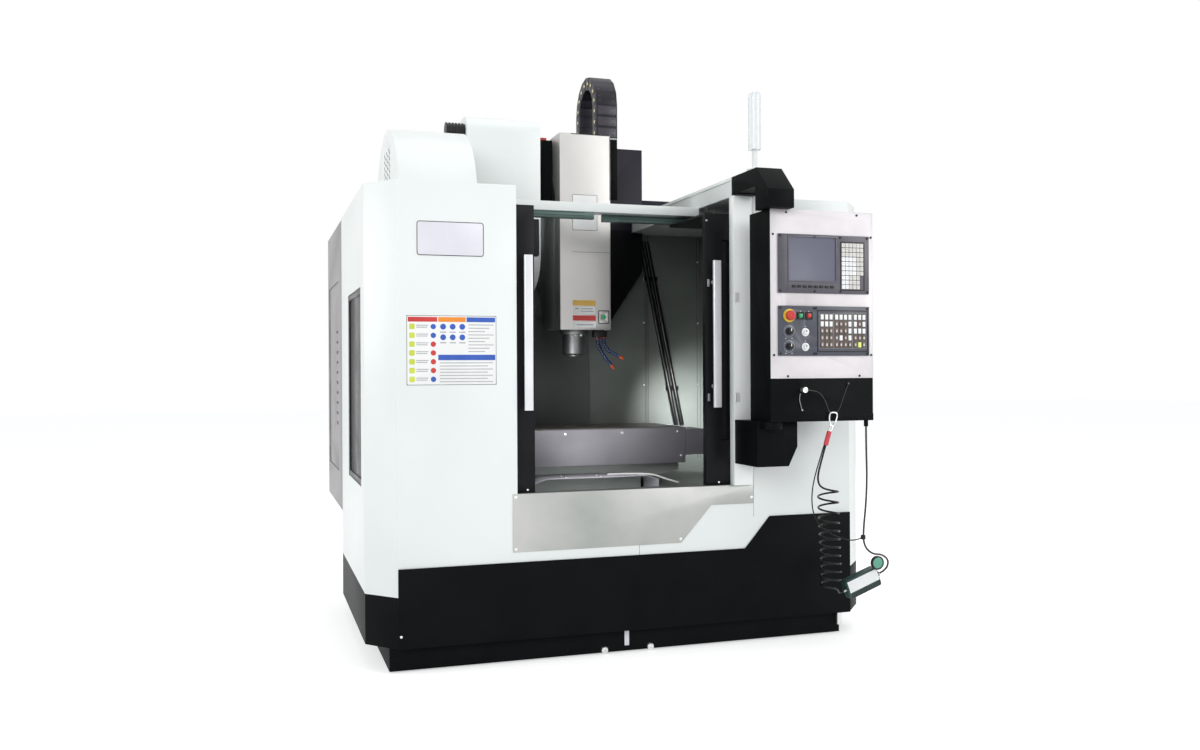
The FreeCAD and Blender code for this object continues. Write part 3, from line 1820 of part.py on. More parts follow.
def tube(path, radius):
    first = path.Edges[0]
    start = first.valueAt(first.FirstParameter)
    ring = Part.Wire(Part.makeCircle(radius, start, first.tangentAt(first.FirstParameter)))
    solid = path.makePipeShell([ring], True, False)
    print("tube volume against section by length", solid.Volume / (math.pi * radius ** 2 * path.Length))
    return solid


def pendant_cable():
    end = pendant_end(1)
    points = [V(*p) for p in cable_route + [cable_turn]] + [end]
    path, radii = bent_path(points)
    print("cable arc radii", [round(r) for r in radii])
    return tube(path, cable_radius)


def tie_cord():
    points = [V(*p) for p in tie_route + [tie_end]]
    path, radii = bent_path(points)
    print("tie arc radii", [round(r) for r in radii])
    cable_a = V(*cable_route[4])
    cable_b = V(*cable_route[5])
    way = (cable_b - cable_a).normalize()
    middle = cable_a + way * (way.dot(V(*tie_end) - cable_a))
    collar = rod(cable_radius + 6, middle - way * 9, middle + way * 9)
    collar = collar.cut(rod(cable_radius + 2 * clear, middle - way * 10, middle + way * 10))
    cord = tube(path, tie_radius)
    return Part.makeCompound([cord.cut(collar), collar])


def biarc(p0, t0, p1, t1):
    """Two arcs that join two points with the given unit directions."""
    v = p1 - p0
    t = t0 + t1
    denominator = 2 * (1 - t0.dot(t1))
    b = v.dot(t)
    if denominator < 1e-9:
        reach = v.dot(v) / (4 * v.dot(t1))
    else:
        reach = (-b + math.sqrt(b * b + denominator * v.dot(v))) / denominator
    joint = (p0 + p1 + (t0 - t1) * reach) * 0.5
    return [hose_arc(p0, t0, joint), hose_arc(joint, (p1 - t1 * reach - joint).normalize(), p1)]


def hose_arc(start, way, end):
    """The arc that leaves a point in a direction and ends at another."""
    chord = end - start
    side_way = chord - way * chord.dot(way)
    if side_way.Length < 1e-6:
        return Part.LineSegment(start, end).toShape()
    normal = side_way.normalize()
    radius = chord.dot(chord) / (2 * chord.dot(normal))
    centre = start + normal * radius
    angle = 2 * math.atan2(chord.dot(normal), chord.dot(way))
    middle = centre - normal * (radius * math.cos(angle / 2)) + way * (radius * math.sin(angle / 2))
    return Part.Arc(start, middle, end).toShape()


def coil_point(turn):
    """The centre of the curly hose at a number of turns, and its direction."""
    def place(u):
        angle = math.pi + 2 * math.pi * u
        loose = min(u, loose_turns)
        drop = loose * loose_pitch + (u - loose) * tight_pitch
        lean = coil_lean * u / (loose_turns + tight_turns)
        return V(coil_axis + lean + coil_radius * math.cos(angle), pendant_y + coil_radius * math.sin(angle),
                 coil_top - drop)
    step = 0.001
    return place(turn), (place(turn + step) - place(turn - step)).normalize()


def curly_hose():
    start = V(*hose_start)
    bend = V(*hose_bend)
    way = (bend - start).normalize()
    after = start + way * 2 * hose_radius
    knots = [(after, way), (bend, (way + V(0, 0, -1)).normalize())]
    quarters = int((loose_turns + tight_turns) * 4)
    knots += [coil_point(i / 4) for i in range(quarters + 1)]
    end = pendant_end(-1)
    knots.append((end - pendant_axis() * 2 * hose_radius, pendant_axis()))
    edges = [Part.LineSegment(start, after).toShape()]
    for (p0, t0), (p1, t1) in zip(knots, knots[1:]):
        edges += biarc(p0, t0, p1, t1)
    edges.append(Part.LineSegment(knots[-1][0], end).toShape())
    path = Part.Wire(edges)
    samples = path.discretize(Distance=4)
    apart = 12
    gap = min((samples[i] - samples[j]).Length for i in range(len(samples))
              for j in range(i + apart, len(samples))) - 2 * hose_radius
    print("hose least gap to itself", round(gap, 1), "length", round(path.Length))
    return tube(path, hose_radius)


os.makedirs("parts", exist_ok=True)
save("bed", bed())
save("levelling_feet", levelling_feet())
save("column", column())
save("way_rails", way_rails())
save("z_drive", z_drive())
save("saddle", saddle())
save("table", table())
save("table_guard", table_guard())
save("y_cover", y_cover())
save("chip_tray", chip_tray())
save("coolant_tank", coolant_tank())
save("left_front_panel", left_front_panel())
save("right_front_panel", right_front_panel())
save("door_post", door_post())
save("side_panels", side_panels())
save("side_window", side_window())
save("front_skirt", front_skirt())
save("side_skirts", side_skirts())
save("apron", apron())
save("top_beam", top_beam())
save("roof_panels", roof_panels())
save("splash_walls", splash_walls())
save("column_shield", column_shield())
save("head_casting", head_casting())
save("head_cover", head_cover())
save("release_button", release_button())
save("spindle_motor", spindle_motor())
save("spindle_housing", spindle_housing())
save("spindle", spindle())
save("coolant_nozzles", coolant_nozzles())
save("drag_chain", drag_chain())
save("left_door", left_door())
save("right_door", right_door())
save("changer_box", changer_box())
save("carousel", carousel())
save("magazine_hood", magazine_hood())
save("arm_shaft", arm_shaft())
save("changer_arm", changer_arm())
save("electrical_cabinet", electrical_cabinet())
save("cabinet_door", cabinet_door())
save("lubricator", lubricator())
save("wall_hose", wall_hose())
save("pod_arm", pod_arm())
save("signal_lamp", signal_lamp())
save("control_pod", control_pod())
save("pod_face", pod_face())
save("display_unit", display_unit())
save("operator_unit", operator_unit())
save("estop_button", estop_button())
save("start_button", square_button(start_x, button_z))
save("stop_button", square_button(stop_x, button_z))
save("feed_knob", turn_knob(dial_x, feed_z, knob_radius, knob_length, dial_proud + clear))
save("spindle_knob", turn_knob(dial_x, spindle_z, knob_radius, knob_length, dial_proud + clear))
save("program_key", turn_knob(key_x, program_z, key_radius, key_length, clear))
save("lock_key", turn_knob(key_x, lock_z, key_radius, key_length, clear))
save("pendant", pendant())
save("pendant_wheel", pendant_wheel())
save("pendant_cable", pendant_cable())
save("tie_cord", tie_cord())
save("curly_hose", curly_hose())
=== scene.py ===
import json
import math
import bpy
from mathutils import Euler, Matrix, Vector

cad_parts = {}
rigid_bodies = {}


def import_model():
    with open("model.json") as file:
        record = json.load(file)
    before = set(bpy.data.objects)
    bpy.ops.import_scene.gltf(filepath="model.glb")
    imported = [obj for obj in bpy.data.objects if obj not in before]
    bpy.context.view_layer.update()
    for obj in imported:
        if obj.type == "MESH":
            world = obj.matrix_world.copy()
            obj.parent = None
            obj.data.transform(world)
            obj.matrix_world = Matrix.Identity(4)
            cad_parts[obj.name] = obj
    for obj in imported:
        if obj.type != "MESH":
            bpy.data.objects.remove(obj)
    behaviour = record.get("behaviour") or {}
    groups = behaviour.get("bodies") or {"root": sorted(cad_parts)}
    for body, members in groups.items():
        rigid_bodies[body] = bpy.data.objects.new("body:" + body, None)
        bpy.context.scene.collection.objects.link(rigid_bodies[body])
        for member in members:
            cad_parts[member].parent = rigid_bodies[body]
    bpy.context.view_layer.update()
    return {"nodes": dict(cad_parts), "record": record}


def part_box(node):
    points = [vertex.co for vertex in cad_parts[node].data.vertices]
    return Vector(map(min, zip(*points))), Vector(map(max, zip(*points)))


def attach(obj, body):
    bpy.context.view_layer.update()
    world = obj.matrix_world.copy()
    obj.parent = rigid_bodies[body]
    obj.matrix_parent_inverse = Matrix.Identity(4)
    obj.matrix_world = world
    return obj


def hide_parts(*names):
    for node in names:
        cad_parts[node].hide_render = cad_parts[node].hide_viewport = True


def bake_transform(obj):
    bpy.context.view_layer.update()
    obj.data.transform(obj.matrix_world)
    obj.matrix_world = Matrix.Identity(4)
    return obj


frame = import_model()
nodes = frame["nodes"]
bpy.ops.object.select_all(action='DESELECT')
print("frame loaded", len(nodes))


# camera: eye height, a little to the left of the machine, turned towards it
cameraView = dict(place=(-1.55, -5.06, 1.175), turn=18.2, roll=-0.29, lens=32.22, rise=-0.0029)


def makeCamera():
    bpy.ops.object.camera_add(location=cameraView["place"])
    camera = bpy.context.object
    camera.name = "photoCamera"
    upright = Euler((math.radians(90), 0, math.radians(-cameraView["turn"]))).to_matrix()
    tilted = upright @ Matrix.Rotation(math.radians(cameraView["roll"]), 3, 'Z')
    camera.rotation_euler = tilted.to_euler()
    camera.data.lens = cameraView["lens"]
    camera.data.sensor_width = 36
    camera.data.shift_y = cameraView["rise"]
    camera.data.clip_end = 200
    camera.data.dof.use_dof = False
    bpy.context.scene.camera = camera


# lamps: name, place, aimed at, size and power
lamps = [
    dict(name="keyLamp", place=(-7.0, -9.5, 5.2), aim=(0, -0.4, 1.0), size=6.0, power=425),
    dict(name="fillLamp", place=(8.0, -8.5, 4.5), aim=(0.2, -0.6, 1.0), size=6.0, power=400),
    dict(name="topLamp", place=(0.2, -0.6, 6.4), aim=(0, -0.2, 1.0), size=4.5, power=55),
    dict(name="backLamp", place=(3.0, 6.5, 4.6), aim=(0, 0.4, 1.2), size=3.0, power=110),
    dict(name="sideLamp", place=(-8.0, 1.0, 3.2), aim=(-1.1, 0.2, 1.2), size=4.0, power=112),
    dict(name="innerLamp", place=(-0.45, -0.66, 1.10), aim=(0.80, 0.43, 1.04), size=0.30, power=0.8,
         spread=55),
    dict(name="cornerLamp", place=(0.58, -0.10, 1.04), aim=(0.84, 0.43, 0.90), size=0.20, power=3.6,
         spread=80),
    dict(name="trayLamp", place=(-0.05, -0.66, 0.715), aim=(-0.02, -0.37, 0.645), size=0.22, power=0.22,
         spread=110),
]
stageFinish = dict(ground=(0.80, 0.80, 0.80), lift=0.50, sky=0.62)


# 1 where the background is seen straight, in a reflection or through glass
def seenRays(tree):
    path = tree.nodes.new("ShaderNodeLightPath")
    first = tree.nodes.new("ShaderNodeMath")
    first.operation = 'MAXIMUM'
    tree.links.new(path.outputs["Is Camera Ray"], first.inputs[0])
    tree.links.new(path.outputs["Is Transmission Ray"], first.inputs[1])
    both = tree.nodes.new("ShaderNodeMath")
    both.operation = 'MAXIMUM'
    tree.links.new(first.outputs[0], both.inputs[0])
    tree.links.new(path.outputs["Is Glossy Ray"], both.inputs[1])
    return both.outputs[0]


def makeStage():
    world = bpy.context.scene.world or bpy.data.worlds.new("studio")
    bpy.context.scene.world = world
    world.use_nodes = True
    tree = world.node_tree
    tree.nodes.clear()
    plain = tree.nodes.new("ShaderNodeBackground")
    plain.inputs["Color"].default_value = (0.96, 0.98, 1, 1)
    plain.inputs["Strength"].default_value = stageFinish["sky"]
    white = tree.nodes.new("ShaderNodeBackground")
    white.inputs["Color"].default_value = (1, 1, 1, 1)
    white.inputs["Strength"].default_value = 1.0
    mix = tree.nodes.new("ShaderNodeMixShader")
    tree.links.new(seenRays(tree), mix.inputs[0])
    tree.links.new(plain.outputs[0], mix.inputs[1])
    tree.links.new(white.outputs[0], mix.inputs[2])
    out = tree.nodes.new("ShaderNodeOutputWorld")
    tree.links.new(mix.outputs[0], out.inputs[0])

    bpy.ops.mesh.primitive_plane_add(size=60, location=(0, 0, -0.001))
    floor = bpy.context.object
    floor.name = "studioFloor"
    paint = bpy.data.materials.new("studioFloorPaint")
    paint.use_nodes = True
    tree = paint.node_tree
    tree.nodes.clear()
    matte = tree.nodes.new("ShaderNodeBsdfDiffuse")
    matte.inputs["Color"].default_value = (*stageFinish["ground"], 1)
    glow = tree.nodes.new("ShaderNodeEmission")
    strength = tree.nodes.new("ShaderNodeMath")
    strength.operation = 'MULTIPLY'
    strength.inputs[1].default_value = stageFinish["lift"]
    tree.links.new(seenRays(tree), strength.inputs[0])
    tree.links.new(strength.outputs[0], glow.inputs["Strength"])
    both = tree.nodes.new("ShaderNodeAddShader")
    tree.links.new(matte.outputs[0], both.inputs[0])
    tree.links.new(glow.outputs[0], both.inputs[1])
    out = tree.nodes.new("ShaderNodeOutputMaterial")
    tree.links.new(both.outputs[0], out.inputs[0])
    floor.data.materials.append(paint)

    for lamp in lamps:
        bpy.ops.object.light_add(type='AREA', location=lamp["place"])
        light = bpy.context.object
        light.name = lamp["name"]
        light.data.shape = 'DISK'
        light.data.size = lamp["size"]
        light.data.energy = lamp["power"]
        light.data.spread = math.radians(lamp.get("spread", 180))
        aim = Vector(lamp["aim"]) - Vector(lamp["place"])
        light.rotation_euler = aim.to_track_quat('-Z', 'Y').to_euler()
        light.visible_camera = False
    bpy.context.scene.view_settings.view_transform = 'Standard'


makeCamera()
makeStage()
print("camera and stage set")


# finishes: colour and its darker shade, metal, roughness and its spread, size of the clouding,
# fine grain per metre with its depth, how the grain is drawn out along x, y and z
# spread, grain and depth of a finish that gives none of its own
usual = dict(spread=0.1, grain=900, depth=0.05)
finishes = {
    "whitePaint": dict(color=(0.79, 0.83, 0.815), shade=(0.76, 0.80, 0.785), rough=0.36, spread=0.08,
                       cloud=2.2, grain=520, depth=0.03, coat=0.15),
    "whiteTrim": dict(color=(0.80, 0.82, 0.82), shade=(0.70, 0.72, 0.72), rough=0.4, cloud=8, grain=600),
    # a brighter copy of the white for the door post: painted light that makes up for the shade the pod
    # casts on it
    "postWhitePaintedLight": dict(color=(0.93, 0.96, 0.95), shade=(0.90, 0.93, 0.92), rough=0.38, spread=0.08,
                      cloud=3, grain=520, depth=0.03),
    "insidePaint": dict(color=(0.135, 0.152, 0.141), shade=(0.100, 0.114, 0.104), rough=0.44,
                        spread=0.12, cloud=3.0, grain=420, depth=0.04),
    "blackPaint": dict(color=(0.0042, 0.0054, 0.0058), shade=(0.0028, 0.0036, 0.0039), rough=0.46,
                       spread=0.12, cloud=5, depth=0.12, shine=0.05),
    "doorPaint": dict(color=(0.0085, 0.0090, 0.0105), shade=(0.0060, 0.0062, 0.0074), rough=0.38,
                      spread=0.12, cloud=6, grain=800, depth=0.08, shine=0.12),
    "cabinetPaint": dict(color=(0.235, 0.228, 0.232), shade=(0.205, 0.199, 0.203), rough=0.38,
                         spread=0.12, cloud=3, grain=600, depth=0.06),
    "shieldPaint": dict(color=(0.0150, 0.0132, 0.0230), shade=(0.0100, 0.0090, 0.0150), rough=0.42,
                        spread=0.12, cloud=3, grain=700, depth=0.06, shine=0.18),
    "castPaint": dict(color=(0.42, 0.46, 0.44), shade=(0.375, 0.412, 0.395), rough=0.5, spread=0.15,
                      cloud=9, grain=260, depth=0.35),
    "darkCast": dict(color=(0.06, 0.06, 0.062), shade=(0.035, 0.035, 0.036), rough=0.55, spread=0.15,
                     cloud=9, grain=300, depth=0.3),
    "brushedSheet": dict(color=(0.49, 0.49, 0.48), shade=(0.29, 0.32, 0.295), metal=0.8, rough=0.44,
                         spread=0.07, cloud=1.9, depth=0.022, draw=(0.02, 1, 1)),
    "brushedUpright": dict(color=(0.57, 0.56, 0.545), shade=(0.49, 0.48, 0.465), metal=0.85, rough=0.42,
                           spread=0.07, cloud=1.4, depth=0.018, draw=(1, 1, 0.02)),
    "guardSheet": dict(color=(0.36, 0.35, 0.385), shade=(0.29, 0.285, 0.315), metal=0.55, rough=0.50,
                       spread=0.08, cloud=3, depth=0.02, draw=(0.03, 1, 1)),
    "podSheet": dict(color=(0.70, 0.672, 0.69), shade=(0.58, 0.555, 0.572), metal=0.35, rough=0.54,
                     spread=0.06, cloud=3, grain=1000, depth=0.014, draw=(1, 1, 0.02)),
    "groundSteel": dict(color=(0.56, 0.565, 0.57), shade=(0.40, 0.40, 0.41), metal=1, rough=0.26,
                        spread=0.15, cloud=12, grain=500, depth=0.06),
    "turnedSteel": dict(color=(0.27, 0.275, 0.28), shade=(0.20, 0.205, 0.21), metal=0.9, rough=0.46,
                        spread=0.12, cloud=20, depth=0.04, draw=(1, 1, 2.5)),
    "tableIron": dict(color=(0.20, 0.185, 0.17), shade=(0.10, 0.09, 0.082), metal=0.6, rough=0.42,
                      spread=0.2, cloud=7, grain=700, depth=0.12, draw=(0.2, 1, 1)),
    "tableTop": dict(color=(0.085, 0.070, 0.060), shade=(0.045, 0.036, 0.030), metal=0.4, rough=0.34,
                     spread=0.2, cloud=9, grain=500, depth=0.10, draw=(0.06, 1, 1)),
    "handleSteel": dict(color=(0.80, 0.81, 0.83), shade=(0.73, 0.74, 0.76), metal=0.4, rough=0.34,
                        spread=0.06, cloud=6, depth=0.015, draw=(1, 1, 0.03)),
    "screwZinc": dict(color=(0.82, 0.82, 0.81), shade=(0.68, 0.68, 0.68), metal=0.9, rough=0.27,
                      spread=0.12, cloud=40),
    "railPaint": dict(color=(0.060, 0.112, 0.096), shade=(0.044, 0.084, 0.072), metal=0.3, rough=0.36,
                      cloud=5, grain=600, draw=(0.05, 1, 1)),
    "blackPlastic": dict(color=(0.012, 0.012, 0.013), shade=(0.008, 0.008, 0.009), rough=0.42,
                         spread=0.12, cloud=20, grain=1300, depth=0.08, shine=0.3),
    "blackRubber": dict(color=(0.0070, 0.0070, 0.0074), shade=(0.0048, 0.0048, 0.0050), rough=0.5,
                        spread=0.12, cloud=30, depth=0.08, shine=0.2),
    "glossHose": dict(color=(0.0050, 0.0050, 0.0056), shade=(0.0036, 0.0036, 0.0040), rough=0.30,
                      cloud=30, grain=600, depth=0.03, coat=0.10, shine=0.2),
    "deskFilm": dict(color=(0.062, 0.068, 0.088), shade=(0.050, 0.055, 0.072), rough=0.38, spread=0.12,
                     cloud=12, grain=1500, depth=0.06),
    "frameFilm": dict(color=(0.10, 0.094, 0.118), shade=(0.078, 0.073, 0.092), rough=0.36, spread=0.12,
                      cloud=12, grain=1500, depth=0.06),
    "keyTile": dict(color=(0.085, 0.070, 0.064), shade=(0.062, 0.052, 0.048), rough=0.4, cloud=30,
                    grain=1500),
    "keyLegend": dict(color=(0.62, 0.59, 0.58), shade=(0.52, 0.49, 0.48), rough=0.4, cloud=30,
                      grain=1500, depth=0.03),
    "unitFilm": dict(color=(0.078, 0.071, 0.092), shade=(0.062, 0.056, 0.074), rough=0.38, spread=0.12,
                     cloud=12, grain=1500, depth=0.06),
    "keyCream": dict(color=(0.72, 0.70, 0.66), shade=(0.60, 0.585, 0.55), rough=0.42, cloud=30,
                     grain=1500),
    "keyGrey": dict(color=(0.30, 0.30, 0.31), shade=(0.22, 0.22, 0.23), rough=0.42, cloud=30,
                    grain=1500),
    "keyBrown": dict(color=(0.16, 0.10, 0.075), shade=(0.11, 0.07, 0.055), rough=0.42, cloud=30,
                     grain=1500),
    "keyWhite": dict(color=(0.90, 0.91, 0.92), shade=(0.82, 0.83, 0.84), rough=0.38, cloud=30,
                     grain=1500),
    "keyLit": dict(color=(0.62, 0.78, 0.16), shade=(0.50, 0.66, 0.12), rough=0.35, cloud=30, grain=1500,
                   depth=0.04, glow=0.35),
    "redCap": dict(color=(0.62, 0.022, 0.016), shade=(0.46, 0.014, 0.012), rough=0.26, cloud=25,
                   depth=0.04, coat=0.3),
    "greenCap": dict(color=(0.02, 0.36, 0.12), shade=(0.014, 0.26, 0.09), rough=0.26, cloud=25,
                     depth=0.04, coat=0.3),
    "yellowRing": dict(color=(0.80, 0.56, 0.03), shade=(0.66, 0.44, 0.02), rough=0.34, cloud=25),
    "dialPlate": dict(color=(0.085, 0.105, 0.135), shade=(0.065, 0.082, 0.108), metal=0.3, rough=0.36,
                      cloud=30, grain=1200),
    "wireDark": dict(color=(0.13, 0.13, 0.135), shade=(0.075, 0.075, 0.08), metal=0.8, rough=0.4,
                     cloud=60, grain=1200, depth=0.1),
    "dialGreen": dict(color=(0.11, 0.36, 0.26), shade=(0.085, 0.29, 0.21), rough=0.36, cloud=25),
    "dialGrey": dict(color=(0.42, 0.42, 0.43), shade=(0.34, 0.34, 0.35), metal=0.7, rough=0.36, cloud=30,
                     grain=1200),
    "blueSegment": dict(color=(0.006, 0.022, 0.085), shade=(0.004, 0.014, 0.055), rough=0.38, cloud=25,
                        coat=0.2),
    "orangeTip": dict(color=(0.55, 0.070, 0.015), shade=(0.42, 0.05, 0.010), rough=0.3, cloud=25),
    "redSleeve": dict(color=(0.58, 0.045, 0.07), shade=(0.46, 0.030, 0.05), rough=0.45, cloud=60,
                      grain=1200, depth=0.2),
    "chainNylon": dict(color=(0.0125, 0.0110, 0.0185), shade=(0.009, 0.0082, 0.0125), rough=0.40,
                       spread=0.12, cloud=14, depth=0.08, shine=0.3),
    "chainLid": dict(color=(0.030, 0.027, 0.038), shade=(0.022, 0.020, 0.028), rough=0.36, spread=0.12,
                     cloud=14, depth=0.08, shine=0.5),
    "coverSheet": dict(color=(0.78, 0.76, 0.82), shade=(0.66, 0.645, 0.70), metal=0.2, rough=0.42,
                       cloud=3, depth=0.02, draw=(0.03, 1, 1)),
    "chainPin": dict(color=(0.80, 0.68, 0.38), shade=(0.68, 0.56, 0.30), rough=0.45, cloud=40),
    "silverPlate": dict(color=(0.71, 0.70, 0.76), shade=(0.67, 0.66, 0.72), metal=0.25, rough=0.46,
                        spread=0.08, cloud=6, grain=700, depth=0.04, draw=(0.05, 1, 1)),
    "inkAmber": dict(color=(0.80, 0.50, 0.10), shade=(0.72, 0.44, 0.08), rough=0.34, spread=0.06,
                     cloud=12, depth=0.02),
    "seamShade": dict(color=(0.045, 0.048, 0.047), shade=(0.030, 0.032, 0.031), rough=0.5, cloud=12,
                      shine=0.2),
    "plateEdge": dict(color=(0.10, 0.10, 0.105), shade=(0.07, 0.07, 0.072), rough=0.4, cloud=20),
    "boardWhite": dict(color=(0.86, 0.87, 0.86), shade=(0.82, 0.83, 0.82), rough=0.3, spread=0.06,
                       cloud=6, depth=0.02),
    "inkRed": dict(color=(0.60, 0.045, 0.04), shade=(0.52, 0.035, 0.03), rough=0.32, spread=0.06,
                   cloud=12, depth=0.02),
    "inkOrange": dict(color=(0.85, 0.27, 0.03), shade=(0.76, 0.22, 0.02), rough=0.32, spread=0.06,
                      cloud=12, depth=0.02),
    "inkBlue": dict(color=(0.035, 0.11, 0.50), shade=(0.028, 0.09, 0.42), rough=0.32, spread=0.06,
                    cloud=12, depth=0.02),
    "inkLime": dict(color=(0.62, 0.70, 0.08), shade=(0.54, 0.61, 0.06), rough=0.32, spread=0.06,
                    cloud=12, depth=0.02),
    "inkGrey": dict(color=(0.40, 0.41, 0.43), shade=(0.34, 0.35, 0.37), rough=0.34, spread=0.06,
                    cloud=12, depth=0.02),
    "cableGrey": dict(color=(0.020, 0.020, 0.024), shade=(0.014, 0.014, 0.017), rough=0.46, cloud=30,
                      depth=0.06),
    "pendantGreen": dict(color=(0.022, 0.060, 0.052), shade=(0.015, 0.042, 0.036), rough=0.4, cloud=20,
                         grain=1100, depth=0.08),
}
materials = {}


def addNode(tree, kind, **values):
    node = tree.nodes.new("ShaderNode" + kind)
    setInputs(node, values)
    return node


def setInputs(node, values):
    for name, value in values.items():
        node.inputs[name].default_value = value


def makeFinish(name):
    if name in materials:
        return materials[name]
    spec = {**usual, **finishes[name]}
    paint = bpy.data.materials.new(name)
    paint.use_nodes = True
    tree = paint.node_tree
    link = tree.links.new
    shader = tree.nodes["Principled BSDF"]
    place = addNode(tree, "TexCoord")
    drawn = addNode(tree, "Mapping", Scale=spec.get("draw", (1, 1, 1)))
    link(place.outputs["Object"], drawn.inputs["Vector"])
    cloud = addNode(tree, "TexNoise", Scale=spec["cloud"], Detail=5)
    link(place.outputs["Object"], cloud.inputs["Vector"])
    grain = addNode(tree, "TexNoise", Scale=spec["grain"], Detail=3)
    link(drawn.outputs["Vector"], grain.inputs["Vector"])
    tone = addNode(tree, "Mix")
    tone.data_type = 'RGBA'
    tone.inputs["A"].default_value = (*spec["shade"], 1)
    tone.inputs["B"].default_value = (*spec["color"], 1)
    blendIn = addNode(tree, "MapRange", **{"From Min": 0.32, "From Max": 0.62})
    link(cloud.outputs["Fac"], blendIn.inputs["Value"])
    link(blendIn.outputs["Result"], tone.inputs["Factor"])
    link(tone.outputs["Result"], shader.inputs["Base Color"])
    gloss = addNode(tree, "MapRange",
                    **{"From Min": 0.3, "From Max": 0.7, "To Min": spec["rough"] - spec["spread"] / 2,
                       "To Max": spec["rough"] + spec["spread"] / 2})
    link(grain.outputs["Fac"], gloss.inputs["Value"])
    link(gloss.outputs["Result"], shader.inputs["Roughness"])
    bump = addNode(tree, "Bump", Strength=spec["depth"], Distance=0.001)
    link(grain.outputs["Fac"], bump.inputs["Height"])
    link(bump.outputs["Normal"], shader.inputs["Normal"])
    setInputs(shader, {"Metallic": spec.get("metal", 0), "Coat Weight": spec.get("coat", 0),
                       "Coat Roughness": 0.12, "Specular IOR Level": spec.get("shine", 0.5)})
    if "glow" in spec:
        shader.inputs["Emission Color"].default_value = (*spec["color"], 1)
        shader.inputs["Emission Strength"].default_value = spec["glow"]
    materials[name] = paint
    return paint


# clear and tinted panes: colour, how much passes through, roughness
panes = {
    "doorGlass": dict(color=(0.16, 0.19, 0.18), rough=0.03, alpha=0.30, coat=0.5, shine=0.5),
    "smokedGlass": dict(color=(0.022, 0.021, 0.024), rough=0.16, alpha=0.88, coat=0.0, shine=0.03),
    "screenGlass": dict(color=(0.115, 0.118, 0.165), rough=0.42, alpha=1.0, coat=0.0, shine=0.5),
    "lampShell": dict(color=(0.80, 0.84, 0.85), rough=0.18, alpha=0.72, coat=0.5, shine=0.5),
}


def makePane(name):
    if name in materials:
        return materials[name]
    spec = panes[name]
    pane = bpy.data.materials.new(name)
    pane.use_nodes = True
    tree = pane.node_tree
    link = tree.links.new
    shader = tree.nodes["Principled BSDF"]
    setInputs(shader, {"Base Color": (*spec["color"], 1), "Alpha": spec["alpha"],
                       "Coat Weight": spec["coat"], "Coat Roughness": 0.05,
                       "Specular IOR Level": spec["shine"]})
    place = addNode(tree, "TexCoord")
    smear = addNode(tree, "TexNoise", Scale=7, Detail=6)
    link(place.outputs["Object"], smear.inputs["Vector"])
    gloss = addNode(tree, "MapRange", **{"From Min": 0.35, "From Max": 0.7, "To Min": spec["rough"],
                                         "To Max": spec["rough"] + 0.12})
    link(smear.outputs["Fac"], gloss.inputs["Value"])
    link(gloss.outputs["Result"], shader.inputs["Roughness"])
    materials[name] = pane
    return pane


def finishOf(name):
    return makePane(name) if name in panes else makeFinish(name)


def activate(piece):
    if bpy.context.object and bpy.context.object.mode != 'OBJECT':
        bpy.ops.object.mode_set(mode='OBJECT')
    bpy.ops.object.select_all(action='DESELECT')
    piece.select_set(True)
    bpy.context.view_layer.objects.active = piece


def settle(piece):
    activate(piece)
    bpy.ops.object.transform_apply(location=True, rotation=True, scale=True)


def finishPiece(piece, name, body, smooth=30):
    settle(piece)
    piece.data.materials.clear()
    piece.data.materials.append(finishOf(name))
    if smooth:
        bpy.ops.object.shade_smooth_by_angle(angle=math.radians(smooth))
    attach(piece, body)
    return piece


bodyOf = {}
for bodyName, bodyNodes in frame["record"]["behaviour"]["bodies"].items():
    for nodeName in bodyNodes:
        bodyOf[nodeName] = bodyName


def openEdit(piece, test):
    activate(piece)
    bpy.ops.object.mode_set(mode='EDIT')
    bpy.ops.mesh.select_mode(type='FACE')
    bpy.ops.mesh.select_all(action='DESELECT')
    bpy.ops.object.mode_set(mode='OBJECT')
    for face in piece.data.polygons:
        face.select = test(face.center, face.normal)
    bpy.ops.object.mode_set(mode='EDIT')


def closeEdit():
    bpy.ops.object.mode_set(mode='OBJECT')


def soften(piece, width, segments=2, angle=40):
    activate(piece)
    soft = piece.modifiers.new("softEdge", 'BEVEL')
    soft.width = width
    soft.segments = segments
    soft.limit_method = 'ANGLE'
    soft.angle_limit = math.radians(angle)
    soft.use_clamp_overlap = True
    bpy.ops.object.modifier_apply(modifier="softEdge")


def addBlock(name, low, high, soft=0.0, segments=2):
    bpy.ops.object.select_all(action='DESELECT')
    bpy.ops.mesh.primitive_cube_add(size=1, location=[(a + b) / 2 for a, b in zip(low, high)])
    piece = bpy.context.object
    piece.name = name
    piece.scale = [b - a for a, b in zip(low, high)]
    settle(piece)
    if soft:
        soften(piece, soft, segments)
    return piece


# a flat plate on the XZ plane with rounded corners
def addPlate(name, low, high, corner, soft=0.0003):
    piece = addBlock(name, low, high)
    openEdit(piece, lambda c, n: False)
    bpy.ops.mesh.select_mode(type='EDGE')
    closeEdit()
    points = piece.data.vertices
    for edge in piece.data.edges:
        first, second = edge.vertices
        edge.select = abs(points[first].co.y - points[second].co.y) > 0.00001
    bpy.ops.object.mode_set(mode='EDIT')
    bpy.ops.mesh.bevel(offset=corner, segments=6, affect='EDGES')
    closeEdit()
    if soft:
        soften(piece, soft)
    return piece


turnFor = {'X': (0, math.pi / 2, 0), 'Y': (math.pi / 2, 0, 0), 'Z': (0, 0, 0)}


def addRod(name, centre, radius, length, along='Y', sides=32, soft=0.0):
    bpy.ops.object.select_all(action='DESELECT')
    bpy.ops.mesh.primitive_cylinder_add(vertices=sides, radius=radius, depth=length,
                                        location=centre, rotation=turnFor[along])
    piece = bpy.context.object
    piece.name = name
    settle(piece)
    if soft:
        soften(piece, soft)
    return piece


